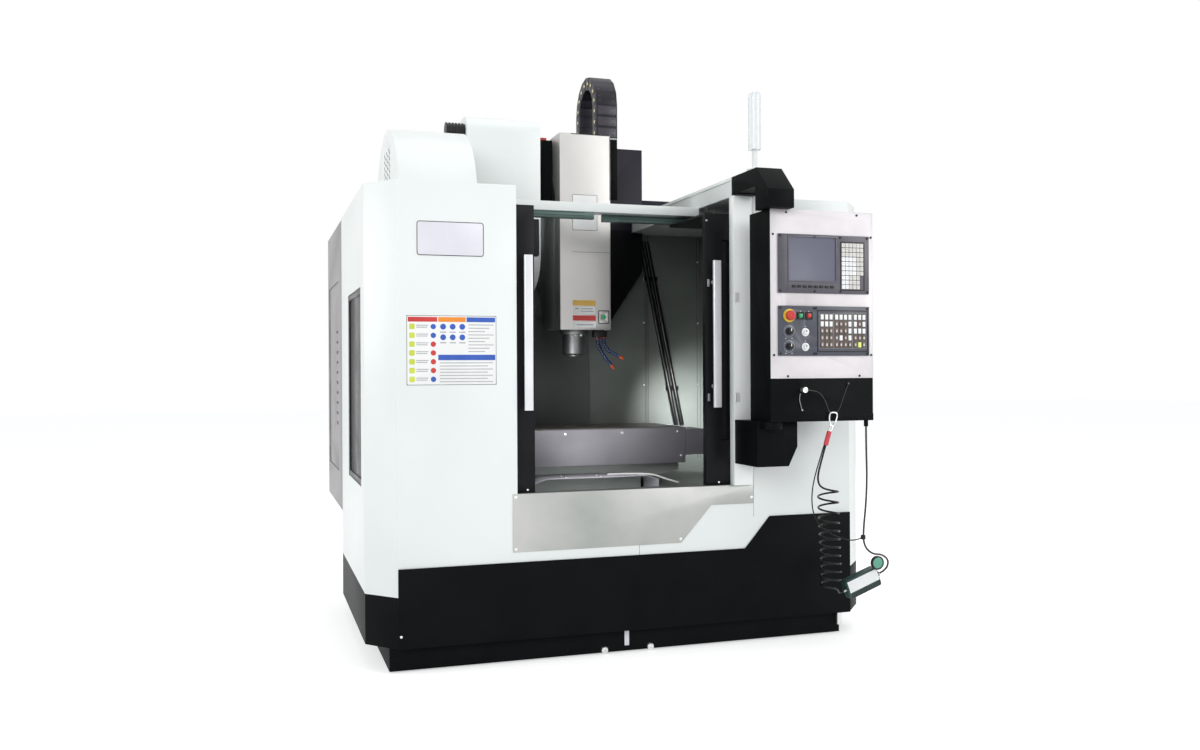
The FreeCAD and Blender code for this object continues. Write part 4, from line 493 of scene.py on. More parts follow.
def addRing(name, centre, outer, inner, length, along='Y', sides=48, soft=0.0):
    piece = addRod(name, centre, outer, length, along, sides)
    axis = 'XYZ'.index(along)
    openEdit(piece, lambda c, n: abs(n[axis]) > 0.9)
    bpy.ops.mesh.inset(thickness=outer - inner, use_individual=True)
    bpy.ops.mesh.bridge_edge_loops()
    closeEdit()
    if soft:
        soften(piece, soft)
    return piece


# a flat frame round a hole, standing in the XZ plane
def addFrame(name, low, high, border, soft=0.0, corner=0.0):
    piece = addPlate(name, low, high, corner, 0) if corner else addBlock(name, low, high)
    openEdit(piece, lambda c, n: abs(n.y) > 0.9)
    bpy.ops.mesh.inset(thickness=border, use_individual=True)
    bpy.ops.mesh.bridge_edge_loops()
    closeEdit()
    if soft:
        soften(piece, soft)
    return piece


# a screw head that faces -Y at the origin, with a socket sunk in it
def addScrew(name, radius, proud, sides=20):
    piece = addRod(name, (0, -proud / 2 + 0.0003, 0), radius, proud + 0.0006, 'Y', sides)
    openEdit(piece, lambda c, n: n.y < -0.9)
    bpy.ops.mesh.inset(thickness=radius * 0.18)
    bpy.ops.transform.translate(value=(0, -proud * 0.18, 0))
    bpy.ops.mesh.inset(thickness=radius * 0.34)
    bpy.ops.mesh.extrude_region_move(TRANSFORM_OT_translate={"value": (0, proud * 0.6, 0)})
    closeEdit()
    return piece


def joinPieces(name, parts):
    bpy.ops.object.select_all(action='DESELECT')
    for part in parts:
        part.select_set(True)
    bpy.context.view_layer.objects.active = parts[0]
    if len(parts) > 1:
        bpy.ops.object.join()
    joined = bpy.context.object
    joined.name = name
    return joined


# copies of a piece modelled at the origin, each with its own mesh, at points or turned places
def spread(name, piece, places):
    copies = []
    for place in places:
        copy = piece.copy()
        copy.data = piece.data.copy()
        bpy.context.scene.collection.objects.link(copy)
        copy.data.transform(place if isinstance(place, Matrix) else Matrix.Translation(place))
        copies.append(copy)
    bpy.data.objects.remove(piece)
    return joinPieces(name, copies)


# plain fields on a face that looks at -Y: each is left, low, right, high
def addFields(name, finish, fields, y, proud, body, soft=0.0002):
    parts = []
    for left, low, right, high in fields:
        parts.append(addBlock(name, (left, y - proud, low), (right, y + 0.0002, high), soft, 1))
    return finishPiece(joinPieces(name, parts), finish, body)


def addBolts(name, finish, places, radius, proud, body):
    screw = addScrew(name, radius, proud)
    return finishPiece(spread(name, screw, places), finish, body)


# a round wire or hose along smooth points, made a mesh
def addWire(name, points, radius, sides=4, closed=False):
    line = bpy.data.curves.new(name, 'CURVE')
    line.dimensions = '3D'
    line.resolution_u = 8
    line.bevel_depth = radius
    line.bevel_resolution = sides
    line.use_fill_caps = True
    run = line.splines.new('NURBS')
    run.points.add(len(points) - 1)
    for knot, point in zip(run.points, points):
        knot.co = (*point, 1)
    run.order_u = 3
    run.use_cyclic_u = closed
    run.use_endpoint_u = not closed
    wire = bpy.data.objects.new(name, line)
    bpy.context.scene.collection.objects.link(wire)
    activate(wire)
    bpy.ops.object.convert(target='MESH')
    return bpy.context.object


# a copy of a CAD solid with softened edges, and a finish for each part of it
def dressNode(nodeName, pieceName, finish, areas=(), edge=0.0012, drop=None, rides=True, flatten=None,
              merge=True):
    source = nodes[nodeName]
    mesh = source.data.copy()
    piece = bpy.data.objects.new(pieceName, mesh)
    bpy.context.scene.collection.objects.link(piece)
    mesh.transform(source.matrix_world)
    activate(piece)
    bpy.ops.object.mode_set(mode='EDIT')
    bpy.ops.mesh.select_all(action='SELECT')
    bpy.ops.mesh.remove_doubles(threshold=0.00002)
    if merge:
        bpy.ops.mesh.dissolve_limited(angle_limit=math.radians(0.4))
    bpy.ops.object.mode_set(mode='OBJECT')
    if mesh.has_custom_normals:
        bpy.ops.mesh.customdata_custom_splitnormals_clear()
    if drop:
        openEdit(piece, drop)
        bpy.ops.mesh.select_linked()
        bpy.ops.mesh.delete(type='FACE')
        closeEdit()
    if flatten:
        beyond, level = flatten
        openEdit(piece, lambda c, n: c.y < beyond and n.y < -0.9)
        bpy.ops.transform.resize(value=(1, 0, 1), center_override=(0, level, 0))
        closeEdit()
    mesh.materials.clear()
    mesh.materials.append(finishOf(finish))
    for i, (areaFinish, test) in enumerate(areas, 1):
        mesh.materials.append(finishOf(areaFinish))
        for face in mesh.polygons:
            if test(face.center, face.normal):
                face.material_index = i
    if edge:
        soften(piece, edge)
    bpy.ops.object.shade_smooth_by_angle(angle=math.radians(32))
    if rides:
        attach(piece, bodyOf[nodeName])
    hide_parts(nodeName)
    return piece


# nodes that keep their CAD shape, by finish
plainNodes = {
    "castPaint": ["bed", "column", "saddle"],
    "groundSteel": ["way_rails", "z_drive", "arm_shaft", "levelling_feet"],
    "darkCast": ["spindle_motor", "lubricator"],
    "insidePaint": ["chip_tray"],
}


def paintNodes():
    for finish, names in plainNodes.items():
        for name in names:
            for place in nodes[name].material_slots:
                place.link = 'OBJECT'
                place.material = finishOf(finish)


paintNodes()
print("plain nodes painted")


# sheet panels, walls and covers
dressNode("left_front_panel", "leftFrontPanel", "whitePaint")
dressNode("right_front_panel", "rightFrontPanel", "whitePaint")
# the door post gets the brighter white: painted light against the pod's shade
dressNode("door_post", "doorPost", "postWhitePaintedLight", edge=0.0008)
dressNode("side_panels", "sidePanels", "whitePaint",
          [("insidePaint", lambda c, n: abs(c.x) < 1.1085 and c.y > -0.74)])
dressNode("roof_panels", "roofPanels", "whitePaint")
dressNode("top_beam", "topBeam", "whitePaint",
          [("railPaint", lambda c, n: c.z < 1.86 or (c.z < 1.8875 and abs(n.z) < 0.5))])
# the side walls of the slots in the hood's end get the dark seam finish: painted shade in the slots
dressNode("magazine_hood", "magazineHood", "whitePaint", [("seamShade", lambda c,
            n: c.x < -0.96 and abs(n.x) < 0.5 and -0.45 < c.y < -0.20 and 1.94 < c.z < 2.15)],
          edge=0.0006)
dressNode("changer_box", "changerBox", "whitePaint",
          [("blackPlastic", lambda c, n: c.x < -0.5805 and c.z > 2.2),
           ("groundSteel", lambda c, n: c.z < 1.555 or (c.x < -0.581 and c.z < 2.2))])
dressNode("front_skirt", "frontSkirt", "blackPaint")
dressNode("side_skirts", "sideSkirts", "blackPaint")
dressNode("coolant_tank", "coolantTank", "blackPaint", edge=0.0008)
dressNode("apron", "frontApron", "brushedSheet", edge=0.0006)
walls = dressNode("splash_walls", "splashWalls", "insidePaint", edge=0.0006)
# the column shield is black here: painted shade for the inside of the machine; only its top gets the
# shield's own colour further on
shield = dressNode("column_shield", "columnShield", "doorPaint", edge=0.0008)
dressNode("table", "workTable", "tableIron", [("tableTop", lambda c, n: n.z > 0.9 and c.z > 0.905)],
          edge=0.0008)
dressNode("table_guard", "tableGuard", "guardSheet", edge=0.0008)
dressNode("y_cover", "wayCover", "coverSheet", edge=0.0008)
dressNode("head_cover", "headCover", "brushedUpright", edge=0.0008)
dressNode("head_casting", "headCasting", "castPaint",
          [("blackPaint", lambda c, n: c.x < -0.135 and c.z > 1.9901),
           ("redCap", lambda c, n: c.x < -0.15 and c.z > 2.2852)], edge=0.0015)
dressNode("spindle_housing", "spindleHousing", "turnedSteel")
dressNode("spindle", "spindleNose", "turnedSteel")
dressNode("changer_arm", "changerArm", "groundSteel")
dressNode("carousel", "toolCarousel", "dialGrey")
dressNode("electrical_cabinet", "switchCabinet", "cabinetPaint")
dressNode("cabinet_door", "cabinetDoor", "cabinetPaint")
dressNode("wall_hose", "wallHoses", "glossHose",
          [("screwZinc", lambda c, n: c.y > 0.4365)], edge=0)


# everything of a piece above a height gets a finish of its own
def paintAbove(piece, height, finish):
    activate(piece)
    bpy.ops.object.mode_set(mode='EDIT')
    bpy.ops.mesh.select_all(action='SELECT')
    bpy.ops.mesh.bisect(plane_co=(0, 0, height), plane_no=(0, 0, 1))
    bpy.ops.object.mode_set(mode='OBJECT')
    piece.data.materials.append(finishOf(finish))
    for face in piece.data.polygons:
        if face.center.z > height:
            face.material_index = len(piece.data.materials) - 1


# above this height the tops of the splash walls are painted dark and the column shield gets its own colour;
# below it the shield stays black as painted shade
paintAbove(walls, 1.935, "shieldPaint")
paintAbove(shield, 1.935, "shieldPaint")


# cutting fluid nozzles: jointed blue segments that get thinner towards an orange tip
nozzleSpec = dict(lines=(((0.078, -0.070, 1.353), (0.082, -0.070, 1.303), (0.108, -0.070, 1.257),
                          (0.138, -0.074, 1.217), (0.162, -0.077, 1.188)),
                         ((0.110, -0.070, 1.353), (0.108, -0.076, 1.313), (0.130, -0.086, 1.277),
                          (0.170, -0.092, 1.255), (0.204, -0.097, 1.236))),
                  thick=0.0105, thin=0.0086, beads=11, tip=0.024)


def pointAlong(points, share):
    run = [(b - a).length for a, b in zip(points, points[1:])]
    left = share * sum(run)
    for i, length in enumerate(run):
        if left <= length or i == len(run) - 1:
            way = (points[i + 1] - points[i]).normalized()
            return points[i] + way * left, way
        left -= length


def makeNozzles():
    spec = nozzleSpec
    beads, collars, tips = [], [], []
    for line in spec["lines"]:
        points = [Vector(p) for p in line]
        total = sum((b - a).length for a, b in zip(points, points[1:]))
        pitch = (total - spec["tip"]) / spec["beads"]
        for i in range(spec["beads"]):
            place, way = pointAlong(points, (i + 0.5) * pitch / total)
            radius = spec["thick"] + (spec["thin"] - spec["thick"]) * i / spec["beads"]
            turn = Matrix.Translation(place) @ way.to_track_quat('Z', 'Y').to_matrix().to_4x4()
            bead = addRod("bead", (0, 0, 0), radius, pitch * 0.94, 'Z', 24, radius * 0.42)
            bead.data.transform(turn)
            beads.append(bead)
            if i < 2:
                collar = addRing("collar", (0, 0, -pitch * 0.40), radius * 1.06, radius * 0.7,
                                 pitch * 0.22, 'Z', 24, 0.0004)
                collar.data.transform(turn)
                collars.append(collar)
        place, way = pointAlong(points, 1 - spec["tip"] / total / 2)
        tip = addRod("tip", (0, 0, 0), spec["thin"] * 0.95, spec["tip"], 'Z', 24)
        openEdit(tip, lambda c, n: n.z > 0.9)
        bpy.ops.transform.resize(value=(0.62, 0.62, 1))
        bpy.ops.mesh.inset(thickness=0.0012)
        bpy.ops.mesh.extrude_region_move(TRANSFORM_OT_translate={"value": (0, 0, -0.008)})
        closeEdit()
        soften(tip, 0.0008)
        tip.data.transform(Matrix.Translation(place) @ way.to_track_quat('Z', 'Y').to_matrix().to_4x4())
        tips.append(tip)
    beads = finishPiece(joinPieces("nozzleSegments", beads), "blueSegment", "head")
    finishPiece(joinPieces("nozzleCollars", collars), "orangeTip", "head")
    finishPiece(joinPieces("nozzleTips", tips), "orangeTip", "head")
    block = addBlock("nozzleBlock", (0.056, -0.092, 1.343), (0.122, -0.048, 1.385), 0.003)
    finishPiece(block, "blackPlastic", "head")
    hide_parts("coolant_nozzles")


makeNozzles()
print("nozzles made")


# plates and printed fields on the left front: no lettering, only fields of colour
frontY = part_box("left_front_panel")[0][1]


def makeFrontPlates():
    rim = addFrame("namePlateRim", (-0.919, frontY - 0.0016, 1.633), (-0.653, frontY + 0.0002, 1.768),
                   0.0032, 0.0004, 0.011)
    finishPiece(rim, "plateEdge", "frame")
    plate = addPlate("namePlate", (-0.9162, frontY - 0.0012, 1.6358), (-0.6558, frontY + 0.0002, 1.7652),
                     0.009)
    finishPiece(plate, "silverPlate", "frame")

    left, low, wide, high = -0.958, 1.127, 0.352, 0.269
    topRow, rowStep, inkThick = 0.845, 0.128, 0.0003

    def field(u0, v0, u1, v1):
        return (left + u0 * wide, low + v0 * high, left + u1 * wide, low + v1 * high)

    rim = addFrame("signRim", (left - 0.0020, frontY - 0.0007, low - 0.0020),
                   (left + wide + 0.0020, frontY + 0.0002, low + high + 0.0020), 0.0040, 0.0002)
    finishPiece(rim, "plateEdge", "frame")
    board = addPlate("signBoard", (left, frontY - 0.0010, low), (left + wide, frontY + 0.0002, low + high),
                     0.004)
    finishPiece(board, "boardWhite", "frame")
    face = frontY - 0.0010
    addFields("signRed", "inkRed", [field(0.008, 0.915, 0.335, 0.985)], face, inkThick, "frame")
    addFields("signOrange", "inkOrange", [field(0.345, 0.915, 0.655, 0.985)], face, inkThick, "frame")
    addFields("signBlue", "inkBlue", [field(0.665, 0.915, 0.992, 0.985), field(0.345, 0.355, 0.992, 0.435)],
              face, inkThick, "frame")
    greys = []
    limes = []
    marks = {"inkBlue": [], "inkRed": []}
    colours = ("inkBlue", "inkBlue", "inkRed", "inkRed", "inkRed", "inkRed", "inkBlue")
    for row, colour in enumerate(colours):
        v = topRow - row * rowStep
        limes.append(addPlate("lime", (left + 0.022 * wide, face - 0.0003, low + (v - 0.040) * high),
                              (left + 0.084 * wide, face + 0.0002, low + (v + 0.040) * high), 0.005, 0))
        greys += [field(0.10, v + 0.012, 0.235, v + 0.024), field(0.10, v - 0.016, 0.225, v - 0.004)]
        marks[colour].append(addRod("mark", (left + 0.290 * wide, face, low + v * high), 0.0105, 0.0006))
    for row in range(2):
        for column in range(3):
            u, v = 0.400 + 0.108 * column, topRow - 0.155 * row
            marks["inkBlue"].append(addRod("mark", (left + u * wide, face, low + v * high), 0.0115, 0.0006))
            greys.append(field(u - 0.035, v - 0.088, u + 0.035, v - 0.072))
    for i in range(9):
        greys.append(field(0.685, 0.868 - i * 0.049, 0.975 - 0.05 * (i % 3), 0.880 - i * 0.049))
    for i in range(7):
        greys.append(field(0.360, 0.310 - i * 0.046, 0.965 - 0.06 * (i % 2), 0.322 - i * 0.046))
    finishPiece(joinPieces("signLimes", limes), "inkLime", "frame")
    for colour, parts in marks.items():
        finishPiece(joinPieces(colour + "Marks", parts), colour, "frame")
    addFields("signLines", "inkGrey", greys, face, inkThick, "frame", 0)


def makeSeamsAndBolts():
    seams = [(-0.0006, 0.3005, 0.0006, 0.4508), (0.5254, 0.6860, 0.5266, 1.9240),
             (0.5254, 0.5460, 0.5266, 0.6860)]
    addFields("frontSeams", "seamShade", seams, frontY, 0.0002, "frame", 0)
    addBolts("apronScrews", "screwZinc", [(-0.529, frontY - 0.003, 0.463), (0.183, frontY - 0.003, 0.467),
                                          (0.513, frontY - 0.003, 0.630), (-0.529, frontY - 0.003, 0.672)],
             0.0058, 0.0030, "frame")
    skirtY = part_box("front_skirt")[0][1]
    addBolts("levelBolts", "screwZinc", [(-0.145, -0.8200, 0.020), (0.058, -0.8200, 0.019)], 0.0140, 0.016,
             "frame")
    addBolts("skirtBolts", "screwZinc", [(-0.987, skirtY, 0.150)], 0.0050, 0.0030,
             "frame")
    plate = addPlate("skirtPlate", (-0.054, -0.8215, 0.028), (-0.034, -0.8198, 0.090), 0.003)
    finishPiece(plate, "silverPlate", "frame")
    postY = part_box("door_post")[0][1]
    knuckles = []
    for z in (1.062, 1.489):
        knuckles.append(addBlock("leaf", (0.4290, postY - 0.0030, z - 0.020),
                                 (0.4520, postY + 0.0002, z + 0.020), 0.001))
        knuckles.append(addRod("knuckle", (0.4320, postY - 0.0040, z), 0.0045, 0.040, 'Z', 24, 0.0008))
    finishPiece(joinPieces("postHinges", knuckles), "whiteTrim", "frame")


def makeTableBolts():
    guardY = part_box("table_guard")[0][1]
    places = [(-0.300, guardY, 0.884), (-0.144, guardY, 0.884), (0.137, guardY, 0.884),
              (0.422, guardY, 0.884), (0.439, guardY, 0.768), (-0.300, guardY, 0.768)]
    addBolts("guardBolts", "screwZinc", places, 0.0075, 0.0045, "table")
    seam = addBlock("guardSeam", (0.4590, guardY - 0.0003, 0.736), (0.4602, guardY + 0.0002, 0.896))
    finishPiece(seam, "seamShade", "table")
    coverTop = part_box("y_cover")[1][2]
    screw = addScrew("coverBolt", 0.0075, 0.0040)
    lie = Matrix.Rotation(math.radians(-90), 4, 'X')
    places = [Matrix.Translation((x, y, coverTop)) @ lie for x in (-0.17, 0.0, 0.17) for y in (-0.350,
                                                                                               -0.280)]
    finishPiece(spread("wayCoverBolts", screw, places), "screwZinc", bodyOf["y_cover"])
    hose = addWire("oilHose", [(0.050, -0.296, coverTop + 0.0042), (0.134, -0.300, coverTop + 0.0046),
                               (0.200, -0.318, coverTop + 0.0044), (0.262, -0.356, coverTop + 0.002),
                               (0.300, -0.396, coverTop - 0.016), (0.346, -0.450,
                                                                   coverTop - 0.030)], 0.0042, 5)
    finishPiece(hose, "boardWhite", bodyOf["y_cover"], 50)


def makeSmallTrim():
    lines = []
    for left, right, y in ((-0.915, -0.125, -0.517), (0.058, 0.880, -0.457)):
        for z in (1.8540, 1.8655, 1.8800):
            lines.append(addBlock("railLine", (left, y - 0.0012, z - 0.0011),
                                  (right, y + 0.0004, z + 0.0011), 0.0003))
    finishPiece(joinPieces("railLines", lines), "seamShade", "frame")
    # a dark plate inside the hood behind its end slots: painted shade seen through the slots
    backing = addBlock("hoodSlotShade", (-0.9622, -0.450, 1.945), (-0.9600, -0.205, 2.145), 0.0006)
    finishPiece(backing, "seamShade", "frame")
    clip = [addBlock("clip", (0.950, -0.8340, 0.040), (0.972, -0.8300, 0.106), 0.0010),
            addBlock("clip", (0.950, -0.8300, 0.040), (0.954, -0.8100, 0.106), 0.0010)]
    finishPiece(joinPieces("skirtClip", clip), "screwZinc", "frame")


def makeHeadPlates():
    slotOf = "head_cover"
    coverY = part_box(slotOf)[0][1] + 0.002
    rim = addFrame("headPlateRim", (-0.089, coverY - 0.0010, 1.843), (0.035, coverY + 0.0002, 2.012),
                   0.0022, 0.0003, 0.004)
    finishPiece(rim, "plateEdge", "head")
    plate = addPlate("headPlate", (-0.087, coverY - 0.0008, 1.845), (0.033, coverY + 0.0002, 2.010), 0.003)
    finishPiece(plate, "boardWhite", "head")
    addFields("headAmber", "inkAmber", [(-0.089, 1.487, 0.025, 1.513)], coverY, 0.0008, "head")
    addFields("headPale", "boardWhite", [(-0.085, 1.448, 0.021, 1.482), (-0.085, 1.384, 0.025, 1.411)],
              coverY, 0.0008, "head")
    addFields("headRed", "inkRed", [(-0.089, 1.416, 0.025, 1.441)], coverY, 0.0008, "head")
    addFields("headInk", "inkGrey", [(-0.078, 1.470, -0.060, 1.476), (-0.050, 1.470, 0.010, 1.474),
                                     (-0.050, 1.458, 0.014, 1.462), (-0.070, 1.394, 0.012, 1.399)],
              coverY - 0.0008, 0.0002, "head", 0)
    lap = addBlock("headLap", (-0.092, coverY - 0.0012, 1.7400), (0.099, coverY + 0.0002, 1.7412))
    finishPiece(lap, "seamShade", "head")
    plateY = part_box(slotOf)[0][1]
    rim = addFrame("releasePlateRim", (0.036, plateY - 0.0006, 1.401), (0.0915, coverY, 1.466), 0.0052,
                   0.0003, 0.003)
    finishPiece(rim, "wireDark", "head")
    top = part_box(slotOf)[1][2]
    lips = [addBlock("lip", (-0.094, coverY - 0.0010, top - 0.0040), (0.098, coverY + 0.0010, top), 0.0004),
            addBlock("lip", (0.0966, coverY - 0.0010, 1.990), (0.0988, coverY + 0.0010, top - 0.0040),
                     0.0004)]
    finishPiece(joinPieces("headLips", lips), "seamShade", "head")
    foot = [addBlock("foot", (0.104, -0.058, 2.020), (0.190, -0.046, 2.3155), 0.0015),
            addBlock("foot", (0.104, -0.046, 2.020), (0.116, 0.0, 2.3155), 0.0015)]
    foot += [addRod("footBolt", (x, -0.0585, z), 0.0052, 0.006, 'Y', 6, 0.0008) for x in (0.128, 0.172)
             for z in (2.110, 2.275)]
    finishPiece(joinPieces("chainFoot", foot), "blackPaint", "head")
    addBolts("noseBolts", "screwZinc", [(-0.040, -0.0700, 1.351), (-0.008, -0.0700, 1.351)], 0.0060, 0.0070,
             "head")


def makeWallSeams():
    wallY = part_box("splash_walls")[0][1] + 0.020
    foldsAt = (0.521, 0.530, 0.539, 0.830, 0.848, 0.884, -0.600, -0.612)
    folds = [(x, 0.690, x + 0.0022, 1.915) for x in foldsAt]
    addFields("wallSeams", "seamShade", folds, wallY, 0.0012, "frame", 0.0003)
    places = [(x, wallY, z) for x in (0.515, 0.836) for z in (0.76, 1.10, 1.44, 1.78)]
    addBolts("wallBolts", "screwZinc", places, 0.0048, 0.0030, "frame")


makeFrontPlates()
makeSeamsAndBolts()
makeTableBolts()
makeSmallTrim()
makeHeadPlates()
makeWallSeams()


# control pod
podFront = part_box("operator_unit")[0][1] + 0.003
displayKeys = dict(left=0.780, right=0.883, low=1.509, high=1.700, columns=6, rows=10)
operatorKeys = dict(groups=((0.678, 0.740, 3), (0.745, 0.828, 4), (0.833, 0.894, 3)), low=1.266, high=1.408,
                    pattern=("WWWWWWWWWW", "WWWbbbWWbW", "bbbbbbWWWW", "bbbbWbWbbb", "bbbbbbbbYb"))
buttons = dict(stop=(0.5385, 1.398), green=(0.589, 1.398), red=(0.628, 1.398))
dials = ((0.5365, 1.334), (0.5365, 1.273))
switches = ((0.611, 1.331), (0.611, 1.271))
pegPlace = (0.600, 1.096)


def displayLetter(c):
    spec = displayKeys
    inside = spec["left"] < c.x < spec["right"] and spec["low"] < c.z < spec["high"]
    if c.y > podFront - 0.0004 or not inside:
        return ""
    row = int((spec["high"] - c.z) / (spec["high"] - spec["low"]) * spec["rows"])
    column = int((c.x - spec["left"]) / (spec["right"] - spec["left"]) * spec["columns"])
    cream = row < 3 or (row < 7 and column > 3) or (row > 6 and column > 1)
    return "c" if cream else "w"


def operatorLetter(c):
    spec = operatorKeys
    if c.y > podFront - 0.0004 or not spec["low"] < c.z < spec["high"]:
        return ""
    row = int((spec["high"] - c.z) / (spec["high"] - spec["low"]) * 5)
    before = 0
    for left, right, count in spec["groups"]:
        if left < c.x < right:
            return spec["pattern"][row][before + int((c.x - left) / (right - left) * count)]
        before += count
    return ""


def nearAny(c, places, reach):
    return any(math.hypot(c.x - x, c.z - z) < reach for x, z in places)


def onFront(c):
    return c.y < podFront - 0.0002


dressNode("display_unit", "displayUnit", "unitFilm", [("screenGlass", lambda c,
            n: 0.538 < c.x < 0.756 and 1.54 < c.z < 1.72 and c.y > podFront + 0.0035),
           ("keyCream", lambda c, n: displayLetter(c) == "c"),
           ("keyWhite", lambda c, n: displayLetter(c) == "w"),
           ("blackPlastic", lambda c, n: onFront(c) and 1.507 < c.z < 1.527 and c.x < 0.75)], edge=0.0006,
          merge=False)
dressNode("operator_unit", "operatorUnit", "deskFilm",
          [("yellowRing", lambda c, n: onFront(c) and nearAny(c, [buttons["stop"]], 0.0278)),
           ("blackPlastic", lambda c, n: onFront(c) and 0.574 < c.x < 0.643 and 1.384 < c.z < 1.412),
           ("dialPlate", lambda c, n: onFront(c) and nearAny(c, dials, 0.0245)),
           ("keyWhite", lambda c, n: operatorLetter(c) == "W"),
           ("keyBrown", lambda c, n: operatorLetter(c) == "b"),
           ("keyLit", lambda c, n: operatorLetter(c) == "Y")], edge=0.0007)


def makeUnitTrim():
    slotOf = "operator_unit"
    face = podFront
    tiles = []
    lines = []
    for left, right, count in operatorKeys["groups"]:
        for low, high in ((1.3222, 1.4085), (1.2650, 1.3205)):
            tiles.append(addBlock("tile", (left - 0.0005, face - 0.0003, low),
                                  (right + 0.0005, face + 0.001, high)))
            lines.append(addFrame("line", (left - 0.0022, face - 0.0005, low - 0.0014),
                                  (right + 0.0022, face + 0.001, high + 0.0014), 0.0010))
    finishPiece(joinPieces("keyTiles", tiles), "keyTile", "pod")
    finishPiece(joinPieces("keyGroupLines", lines), "keyGrey", "pod")

    # a black rim round the key field: partly the inner frame's edge and the divider, partly a painted
    # shadow line along its left and bottom
    rim = addFrame("operatorRimAndShadow", (0.6660, face - 0.0016, 1.2500), (0.9030, face + 0.001, 1.4220), 0.0034,
                   0.0005)
    finishPiece(rim, "blackPlastic", "pod")

    rows = (("displayScrews", "display_unit", (0.4985, 0.655, 0.775, 0.9015), (1.4985, 1.7215)),
            ("operatorScrews", slotOf, (0.4985, 0.652, 0.661, 0.9015), (1.2435, 1.4295)))
    for name, slot, across, heights in rows:
        screw = addScrew("unitScrew", 0.0048, 0.0020)
        places = [(x, face, z) for x in across for z in heights]
        finishPiece(spread(name, screw, places), "blackPlastic", "pod")

    # left, low, right, high, how far each stands proud, its width and its softened edge
    borders = (("screenFrame", "frameFilm", 0.5335, 1.5355, 0.7605, 1.7245, 0.0016, 0.0058, 0.0007),
               ("keyFrame", "blackPlastic", 0.7745, 1.5035, 0.8885, 1.7055, 0.0012, 0.0042, 0.0006))
    for name, finish, left, low, right, high, proud, width, soft in borders:
        border = addFrame(name, (left, face - proud, low), (right, face + 0.001, high), width, soft)
        finishPiece(border, finish, "pod")
    line = addBlock("stripLine", (0.4925, face - 0.0003, 1.6595), (0.531, face + 0.001, 1.6602))
    seam = addBlock("stripSeam", (0.5310, face - 0.0003, 1.4935), (0.5316, face + 0.001, 1.7265))
    finishPiece(joinPieces("displayLines", [line, seam]), "blackPlastic", "pod")

    tick = addBlock("tick", (-0.0004, -0.0003, 0.0188), (0.0004, 0.0006, 0.0222))
    places = []
    for x, z in dials:
        for step in range(11):
            turn = Matrix.Rotation(math.radians(-135 + 27 * step), 4, 'Y')
            places.append(Matrix.Translation((x, face - 0.0015, z)) @ turn)
    finishPiece(spread("dialTicks", tick, places), "keyLegend", "pod")
    rings = [addRing("ring", (x, face - 0.0013, z), 0.0244, 0.0236, 0.0012) for x, z in dials]
    finishPiece(joinPieces("dialRims", rings), "dialGrey", "pod")
    dots = [(x + dx, face, z + dz) for x, z in dials for dx, dz in ((-0.014, -0.0285), (0.014, -0.0285))]
    dots += [(buttons["green"][0], face, 1.4165), (buttons["red"][0], face, 1.4165)]
    dots += [(x, face, z + 0.0235) for x, z in switches]
    dot = addRod("dot", (0, 0, 0), 0.0018, 0.0012, 'Y', 16, 0.0003)
    finishPiece(spread("legendDots", dot, dots), "keyWhite", "pod")

    rings = []
    for x, z in switches:
        rings.append(addRing("ring", (x, face - 0.0014, z), 0.0168, 0.0115, 0.0038, soft=0.0010))
    finishPiece(joinPieces("switchRings", rings), "keyWhite", "pod")
    bezels = []
    for x, z in (buttons["green"], buttons["red"]):
        bezels.append(addFrame("bezel", (x - 0.0155, face - 0.0042, z - 0.0155),
                               (x + 0.0155, face + 0.0005, z + 0.0155), 0.0042, 0.0008, 0.003))
    finishPiece(joinPieces("buttonBezels", bezels), "blackPlastic", "pod")
    x, z = buttons["stop"]
    collar = addRing("stopCollar", (x, face - 0.0034, z), 0.0170, 0.0114, 0.0012, soft=0.0004)
    finishPiece(collar, "blackPlastic", "pod")


# the small marks on the key caps are plain bars
def makeKeyMarks():
    mark = addBlock("mark", (-0.0030, -0.0002, -0.0007), (0.0030, 0.0004, 0.0007))
    places = []
    spec = displayKeys
    for row in range(spec["rows"]):
        for column in range(spec["columns"] if row < 7 else 5):
            x = spec["left"] + (column + 0.5) * (spec["right"] - spec["left"]) / spec["columns"]
            z = spec["high"] - (row + 0.42) * (spec["high"] - spec["low"]) / spec["rows"]
            places.append((x, podFront - 0.0030, z))
    finishPiece(spread("letterMarks", mark, places), "keyGrey", "pod")
    mark = addBlock("mark", (-0.0034, -0.0002, -0.0050), (0.0034, 0.0004, 0.0050))
    places = []
    spec = operatorKeys
    for row, letters in enumerate(spec["pattern"]):
        before = 0
        for left, right, count in spec["groups"]:
            for column in range(count):
                if letters[before + column] == "b":
                    x = left + (column + 0.5) * (right - left) / count
                    z = spec["high"] - (row + 0.5) * (spec["high"] - spec["low"]) / 5
                    places.append((x, podFront - 0.0030, z))
            before += count
    finishPiece(spread("keyMarks", mark, places), "keyLegend", "pod")


makeUnitTrim()
makeKeyMarks()

dressNode("estop_button", "estopButton", "redCap", edge=0)
dressNode("start_button", "startButton", "greenCap", edge=0.0012)
dressNode("stop_button", "stopButton", "redCap", edge=0.0012)
dressNode("release_button", "releaseButton", "greenCap", edge=0.0006)
for nodeName, pieceName, finish, pointer in (("feed_knob", "feedKnob", "blackPlastic", "keyWhite"),
                                             ("spindle_knob", "spindleKnob", "blackPlastic", "keyWhite"),
                                             ("program_key", "programKey", "whiteTrim", "blackPlastic"),
                                             ("lock_key", "lockKey", "whiteTrim", "blackPlastic")):
    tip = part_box(nodeName)[0][1] + 0.0014
    dressNode(nodeName, pieceName, finish, [(pointer, lambda c, n, tip=tip: c.y < tip)], edge=0.0005)

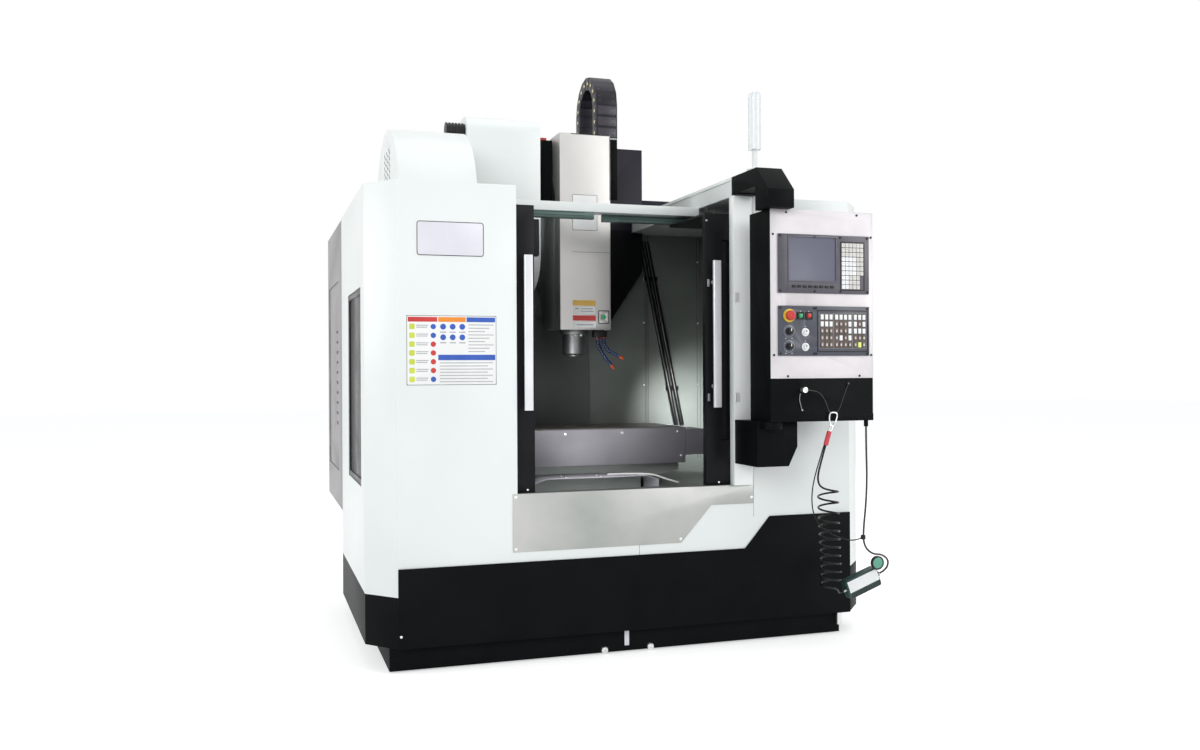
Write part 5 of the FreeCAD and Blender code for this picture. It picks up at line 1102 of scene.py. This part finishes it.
dressNode("pod_arm", "podArm", "blackPaint", edge=0.002)
dressNode("control_pod", "controlPod", "blackPaint",
          edge=0.0015, drop=lambda c, n: c.x < 0.80 and c.z < 0.93, flatten=(-1.1665, -1.1605))
dressNode("pod_face", "podFace", "podSheet", edge=0.0006, flatten=(-1.1601, -1.1600))


def makeFaceScrews():
    places = [(x, -1.1600, z) for x, z in ((0.529, 1.817), (0.856, 1.817), (0.469, 1.727), (0.922, 1.727),
                                          (0.472, 1.238), (0.922, 1.238), (0.534, 1.152), (0.866, 1.152))]
    addBolts("faceScrews", "blackPlastic", places, 0.0050, 0.0022, "pod")
    rim = addRing("rim", (0, -0.0004, 0), 0.0066, 0.0048, 0.0010, 'Y', 24, 0.0002)
    finishPiece(spread("faceScrewRims", rim, places), "silverPlate", "pod")


makeFaceScrews()


# the hook, its strands and the red sleeve that hold the air hose, and the peg's wires
hookSpec = dict(y=-1.1700, loop=((0.7200, 1.0010), (0.7420, 1.0030), (0.7560, 0.9960), (0.7500, 0.9700),
                                 (0.7360, 0.9440), (0.7240, 0.9500), (0.7170, 0.9750)), wire=0.0032)
sleeveSpec = dict(start=(0.704, -1.163, 0.868), end=(0.7190, -1.1676, 0.9255), radius=0.0098)


def makeHook():
    y = hookSpec["y"]
    hook = addWire("hook", [(x, y, z) for x, z in hookSpec["loop"]], hookSpec["wire"], 4, True)
    strands = [hook]
    top = sleeveSpec["end"]
    strands.append(addWire("strand", [(top[0] - 0.003, top[1], top[2] - 0.004), (0.7180, y + 0.001, 0.938),
                                      (0.7240, y, 0.951)], 0.0030))
    strands.append(addWire("strand", [(top[0] + 0.003, top[1], top[2] - 0.004), (0.7290, y - 0.001, 0.934),
                                      (0.7370, y, 0.948)], 0.0030))
    finishPiece(joinPieces("hoseHook", strands), "screwZinc", "pod")

    start, end = Vector(sleeveSpec["start"]), Vector(top)
    way = (end - start).normalized()
    points = [start, start + way * 0.004, start.lerp(end, 0.5), end - way * 0.004, end]
    sleeve = addWire("hoseSleeve", [tuple(p) for p in points], sleeveSpec["radius"], 8)
    finishPiece(sleeve, "redSleeve", "pod", 50)

    x, z = pegPlace
    peg = addRod("peg", (0, -0.012, 0), 0.0105, 0.024, 'Y', 32)
    openEdit(peg, lambda c, n: n.y < -0.9)
    bpy.ops.transform.resize(value=(0.58, 1, 0.58))
    bpy.ops.transform.translate(value=(0, 0.0080, 0))
    bpy.ops.mesh.extrude_region_move(TRANSFORM_OT_translate={"value": (0, -0.0060, 0)})
    bpy.ops.mesh.extrude_region_move(TRANSFORM_OT_translate={"value": (0, -0.0012, 0)})
    bpy.ops.transform.resize(value=(1.95, 1, 1.95))
    bpy.ops.mesh.extrude_region_move(TRANSFORM_OT_translate={"value": (0, -0.0028, 0)})
    bpy.ops.mesh.inset(thickness=0.0030)
    bpy.ops.mesh.extrude_region_move(TRANSFORM_OT_translate={"value": (0, 0.0020, 0)})
    closeEdit()
    soften(peg, 0.0006)
    peg.data.transform(Matrix.Translation((x, -1.1600, z)))
    finishPiece(peg, "screwZinc", "pod")

    wires = [addWire("wire", [(x + 0.004, -1.176, z), (0.640, -1.176, 1.094), (0.675, -1.173, 1.084),
                              (0.702, -1.169, 1.049), (0.712, -1.168, 1.022), (0.720, y + 0.001, 1.003)],
                     0.0010, 2),
             addWire("wire", [(0.813, -1.1618, 1.119), (0.798, -1.1625, 1.086), (0.784, -1.1640, 1.055),
                              (0.770, -1.1670, 1.020), (0.752, y + 0.001, 0.999)], 0.0008, 2),
             addRod("dot", (0.813, -1.1610, 1.120), 0.0042, 0.0034, soft=0.0008)]
    finishPiece(joinPieces("pegWires", wires), "wireDark", "pod")
    strap = [addWire("strap", [(x - 0.010, -1.1618, z - 0.014), (0.584, -1.1622, 1.062),
                               (0.589, -1.1622, 1.040), (0.597, -1.1618, 1.014)], 0.0013, 2),
             addRod("foot", (0.598, -1.1618, 1.013), 0.0036, 0.0036, soft=0.0008)]
    finishPiece(joinPieces("pegStrap", strap), "dialGrey", "pod")


makeHook()


# the three cords: the air hose in its curl, the hand wheel's cable and the tie between them
hoseSpec = dict(lead=[(0.704, -1.163, 0.868), (0.682, -1.158, 0.790), (0.670, -1.156, 0.740),
                      (0.680, -1.148, 0.704), (0.706, -1.147, 0.687)],
                tail=[(0.720, -1.140, 0.280), (0.745, -1.152, 0.277), (0.772, -1.142, 0.268)],
                endGap=0.022, first=4, last=176, axis=0.744, depth=-1.110, radius=0.042,
                lean=0.013, top=0.690, loose=3, loosePitch=0.045, tight=8.25, tightPitch=0.034, thick=0.008)
cableSpec = dict(points=((0.915, -1.130, 0.966), (0.915, -1.130, 0.850), (0.918, -1.131, 0.735),
                         (0.912, -1.132, 0.618), (0.899, -1.131, 0.505), (0.903, -1.127, 0.440),
                         (0.948, -1.119, 0.400), (1.000, -1.112, 0.396), (1.036, -1.110, 0.368),
                         (1.0222, -1.110, 0.3275), (0.98645, -1.110, 0.31447)), thick=0.008)
tieSpec = dict(points=((0.708, -1.1535, 0.884), (0.689, -1.145, 0.815), (0.668, -1.139, 0.745),
                       (0.650, -1.143, 0.675), (0.646, -1.153, 0.605), (0.664, -1.164, 0.548),
                       (0.706, -1.170, 0.512), (0.758, -1.169, 0.488), (0.818, -1.162, 0.470),
                       (0.868, -1.149, 0.472), (0.893, -1.1345, 0.476)), thick=0.005)


def makeCord(name, points, thick, finish):
    line = bpy.data.curves.new(name, 'CURVE')
    line.dimensions = '3D'
    line.resolution_u = 6
    line.bevel_depth = thick / 2
    line.bevel_resolution = 3
    line.use_fill_caps = True
    run = line.splines.new('NURBS')
    run.points.add(len(points) - 1)
    for knot, point in zip(run.points, points):
        knot.co = (*point, 1)
    run.order_u = 3
    run.use_endpoint_u = True
    cordPiece = bpy.data.objects.new(name, line)
    bpy.context.scene.collection.objects.link(cordPiece)
    line.materials.append(finishOf(finish))
    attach(cordPiece, "pod")
    return cordPiece


def hosePoints():
    spec = hoseSpec
    turns = spec["loose"] + spec["tight"]
    wheelAxis = Vector((math.cos(math.radians(20)), 0, math.sin(math.radians(20))))
    end = Vector((0.81355, -1.110, 0.25153))
    points = list(spec["lead"])
    steps = 16
    for i in range(spec["first"], spec["last"] + 1):
        u = i / steps
        angle = math.pi + 2 * math.pi * u
        drop = min(u, spec["loose"]) * spec["loosePitch"] + max(0, u - spec["loose"]) * spec["tightPitch"]
        x = spec["axis"] + spec["lean"] * u / turns + spec["radius"] * math.cos(angle)
        points.append((x, spec["depth"] + spec["radius"] * math.sin(angle), spec["top"] - drop))
    points.extend(spec["tail"])
    points.append(tuple(end - wheelAxis * spec["endGap"]))
    points.append(tuple(end))
    return points


def lengthOf(points):
    total = 0
    last = Vector(points[0])
    for i in range(1, len(points) - 1):
        for j in range(1, 13):
            t = j / 12
            a = Vector(points[i - 1]).lerp(Vector(points[i]), 0.5) if i > 1 else Vector(points[0])
            b = Vector(points[i])
            c = Vector(points[i]).lerp(Vector(points[i + 1]),
                                       0.5) if i < len(points) - 2 else Vector(points[-1])
            here = a * (1 - t) ** 2 + b * 2 * t * (1 - t) + c * t ** 2
            total += (here - last).length
            last = here
    return total


def makeCords():
    points = hosePoints()
    hose = makeCord("airHose", points, hoseSpec["thick"], "glossHose")
    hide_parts("curly_hose")
    points = cableSpec["points"]
    cable = makeCord("wheelCable", points, cableSpec["thick"], "cableGrey")
    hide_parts("pendant_cable")
    points = tieSpec["points"]
    tie = makeCord("tieCord", points, tieSpec["thick"], "blackRubber")
    collar = addRing("tieCollar", (0.8985, -1.1299, 0.476), 0.010, 0.0041, 0.018, 'Z', 32, 0.0015)
    finishPiece(collar, "blackPlastic", "pod")
    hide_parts("tie_cord")
    print("cord lengths", [round(lengthOf(p), 3) for p in (hosePoints(), cableSpec["points"],
                                                           tieSpec["points"])])


makeCords()


# doors: handles brushed, panes clear
def doorAreas(handleY):
    return [("handleSteel", lambda c, n: c.y < handleY),
            ("doorGlass", lambda c, n: -0.8171 < c.y < -0.8089 and abs(n.y) > 0.9 and 0.86 < c.z < 1.76)]


dressNode("left_door", "leftDoor", "doorPaint", doorAreas(-0.8352))
dressNode("right_door", "rightDoor", "doorPaint", doorAreas(-0.8352))
dressNode("side_window", "sideWindow", "doorPaint",
          [("smokedGlass", lambda c, n: -0.581 < c.y < -0.064 and 0.735 < c.z < 1.50)])


def makeDoorTrim():
    paneY = -0.8170
    strip = addBlock("rightSash", (0.3915, paneY - 0.0035, 0.866), (0.4370, paneY + 0.0003, 1.749), 0.0008)
    finishPiece(strip, "doorPaint", "right_door")
    pin = addRod("railPin", (0.333, -0.8200, 1.8670), 0.0068, 0.036, 'Z', 24, 0.002)
    finishPiece(pin, "blackPlastic", "right_door")
    doorY = -0.8350
    addBolts("leftDoorScrews", "screwZinc", [(-0.472, doorY, 0.697)], 0.0042, 0.0028, "left_door")
    addBolts("rightDoorScrews", "screwZinc", [(0.374, doorY, 0.697), (0.322, doorY, 1.820)], 0.0042, 0.0028,
             "right_door")
    catches = [addBlock("catch", (0.3230, doorY - 0.0060, z - 0.016), (0.3340, doorY + 0.0002, z + 0.016),
                        0.002)
               for z in (1.062, 1.552)]
    finishPiece(joinPieces("doorCatches", catches), "dialGrey", "right_door")


makeDoorTrim()
pendantSpec = dict(centre=(0.900, -1.136, 0.283), tilt=20, edge=-0.013, dial=(0.958, 0.367))


def makePendant():
    spec = pendantSpec
    tilt = math.radians(spec["tilt"])
    centre = Vector(spec["centre"])
    across = Vector((-math.sin(tilt), 0, math.cos(tilt)))
    body = dressNode("pendant", "handPendant", "pendantGreen", edge=0)
    activate(body)
    bpy.ops.object.mode_set(mode='EDIT')
    bpy.ops.mesh.select_all(action='SELECT')
    bpy.ops.mesh.bisect(plane_co=centre + across * spec["edge"], plane_no=across)
    bpy.ops.object.mode_set(mode='OBJECT')
    body.data.materials.append(finishOf("whiteTrim"))
    for face in body.data.polygons:
        if face.normal.y < -0.9 and (face.center - centre).dot(across) > spec["edge"]:
            face.material_index = 1
    place = Matrix.Translation(centre) @ Matrix.Rotation(-tilt, 4, 'Y')
    rib = addBlock("rib", (-0.0016, -0.0012, -0.0120), (0.0016, 0.0003, 0.0120), 0.0006)
    slant = Matrix.Rotation(math.radians(24), 4, 'Y')
    places = [place @ Matrix.Translation((-0.068 + 0.0085 * i, 0, -0.0265)) @ slant for i in range(17)]
    finishPiece(spread("pendantRibs", rib, places), "blackPlastic", "pod")
    screw = addScrew("pendantScrew", 0.0032, 0.0016)
    places = [place @ Matrix.Translation((x, 0, z)) for x in (-0.072, 0.060) for z in (-0.007, 0.033)]
    finishPiece(spread("pendantScrews", screw, places), "screwZinc", "pod")
    x, z = spec["dial"]
    dial = addRod("pendantDial", (x, -1.1420, z), 0.0230, 0.0120, 'Y', 40, 0.0012)
    finishPiece(dial, "dialGreen", "pod")
    rim = addRing("pendantDialRim", (x, -1.1425, z), 0.0290, 0.0228, 0.0135, 'Y', 48, 0.0020)
    finishPiece(rim, "blackPlastic", "pod")


makePendant()
dressNode("pendant_wheel", "pendantWheel", "blackPlastic", edge=0.0006)
dressNode("signal_lamp", "signalLamp", "lampShell", [("whiteTrim", lambda c, n: c.z < 2.1)], edge=0)
dressNode("drag_chain", "dragChain", "chainNylon",
          [("chainPin", lambda c, n: c.x < 0.0819 or c.x > 0.1901)], edge=0.0008, rides=False)
chainSpec = dict(left=0.082, right=0.190, middle=0.110, top=2.656, reach=0.170, height=0.062, links=8,
                 front=3, rear=6)


# raised lids on the outside of every link, each with four small rivets
def makeChainLids():
    spec = chainSpec
    centre = spec["top"] - spec["reach"]
    step = math.pi / spec["links"]
    pitch = step * (spec["reach"] - spec["height"] / 2)
    width = spec["right"] - spec["left"]
    turns = [Matrix.Translation((0, spec["middle"],
                                 centre)) @ Matrix.Rotation((i + 0.5) * step - math.pi / 2, 4, 'X')
             for i in range(spec["links"])]
    turns += [Matrix.Translation((0, spec["middle"],
                                  centre - (i + 0.5) * pitch)) @ Matrix.Rotation(math.pi / 2, 4, 'X')
              for i in range(spec["front"])]
    turns += [Matrix.Translation((0, spec["middle"],
                                  centre - (i + 0.5) * pitch)) @ Matrix.Rotation(-math.pi / 2, 4, 'X')
              for i in range(spec["rear"])]
    lids = []
    for turn in turns:
        straight = turn.translation.z < centre
        half = pitch * 0.40 if straight else pitch * 0.46
        base = spec["reach"] - (0 if straight else 0.0042)
        lid = addBlock("lid", (spec["left"] + 0.006, -half, base - 0.004),
                       (spec["left"] + width - 0.006, half, base + 0.0001), 0.0016)
        parts = [lid]
        for x in (spec["left"] + 0.020, spec["right"] - 0.020):
            parts.append(addRod("rivet", (x, half * 0.5, base), 0.0042, 0.0024, 'Z', 16, 0.0008))
            parts.append(addRod("rivet", (x, -half * 0.5, base), 0.0042, 0.0024, 'Z', 16, 0.0008))
        lid = joinPieces("lid", parts)
        lid.data.transform(turn)
        lids.append(lid)
    return lids


lids = makeChainLids()
for lid in lids:
    lid.data.materials.append(finishOf("chainLid"))
chain = joinPieces("dragChain", [bpy.data.objects["dragChain"]] + lids)
bpy.ops.object.shade_smooth_by_angle(angle=math.radians(30))
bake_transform(chain)
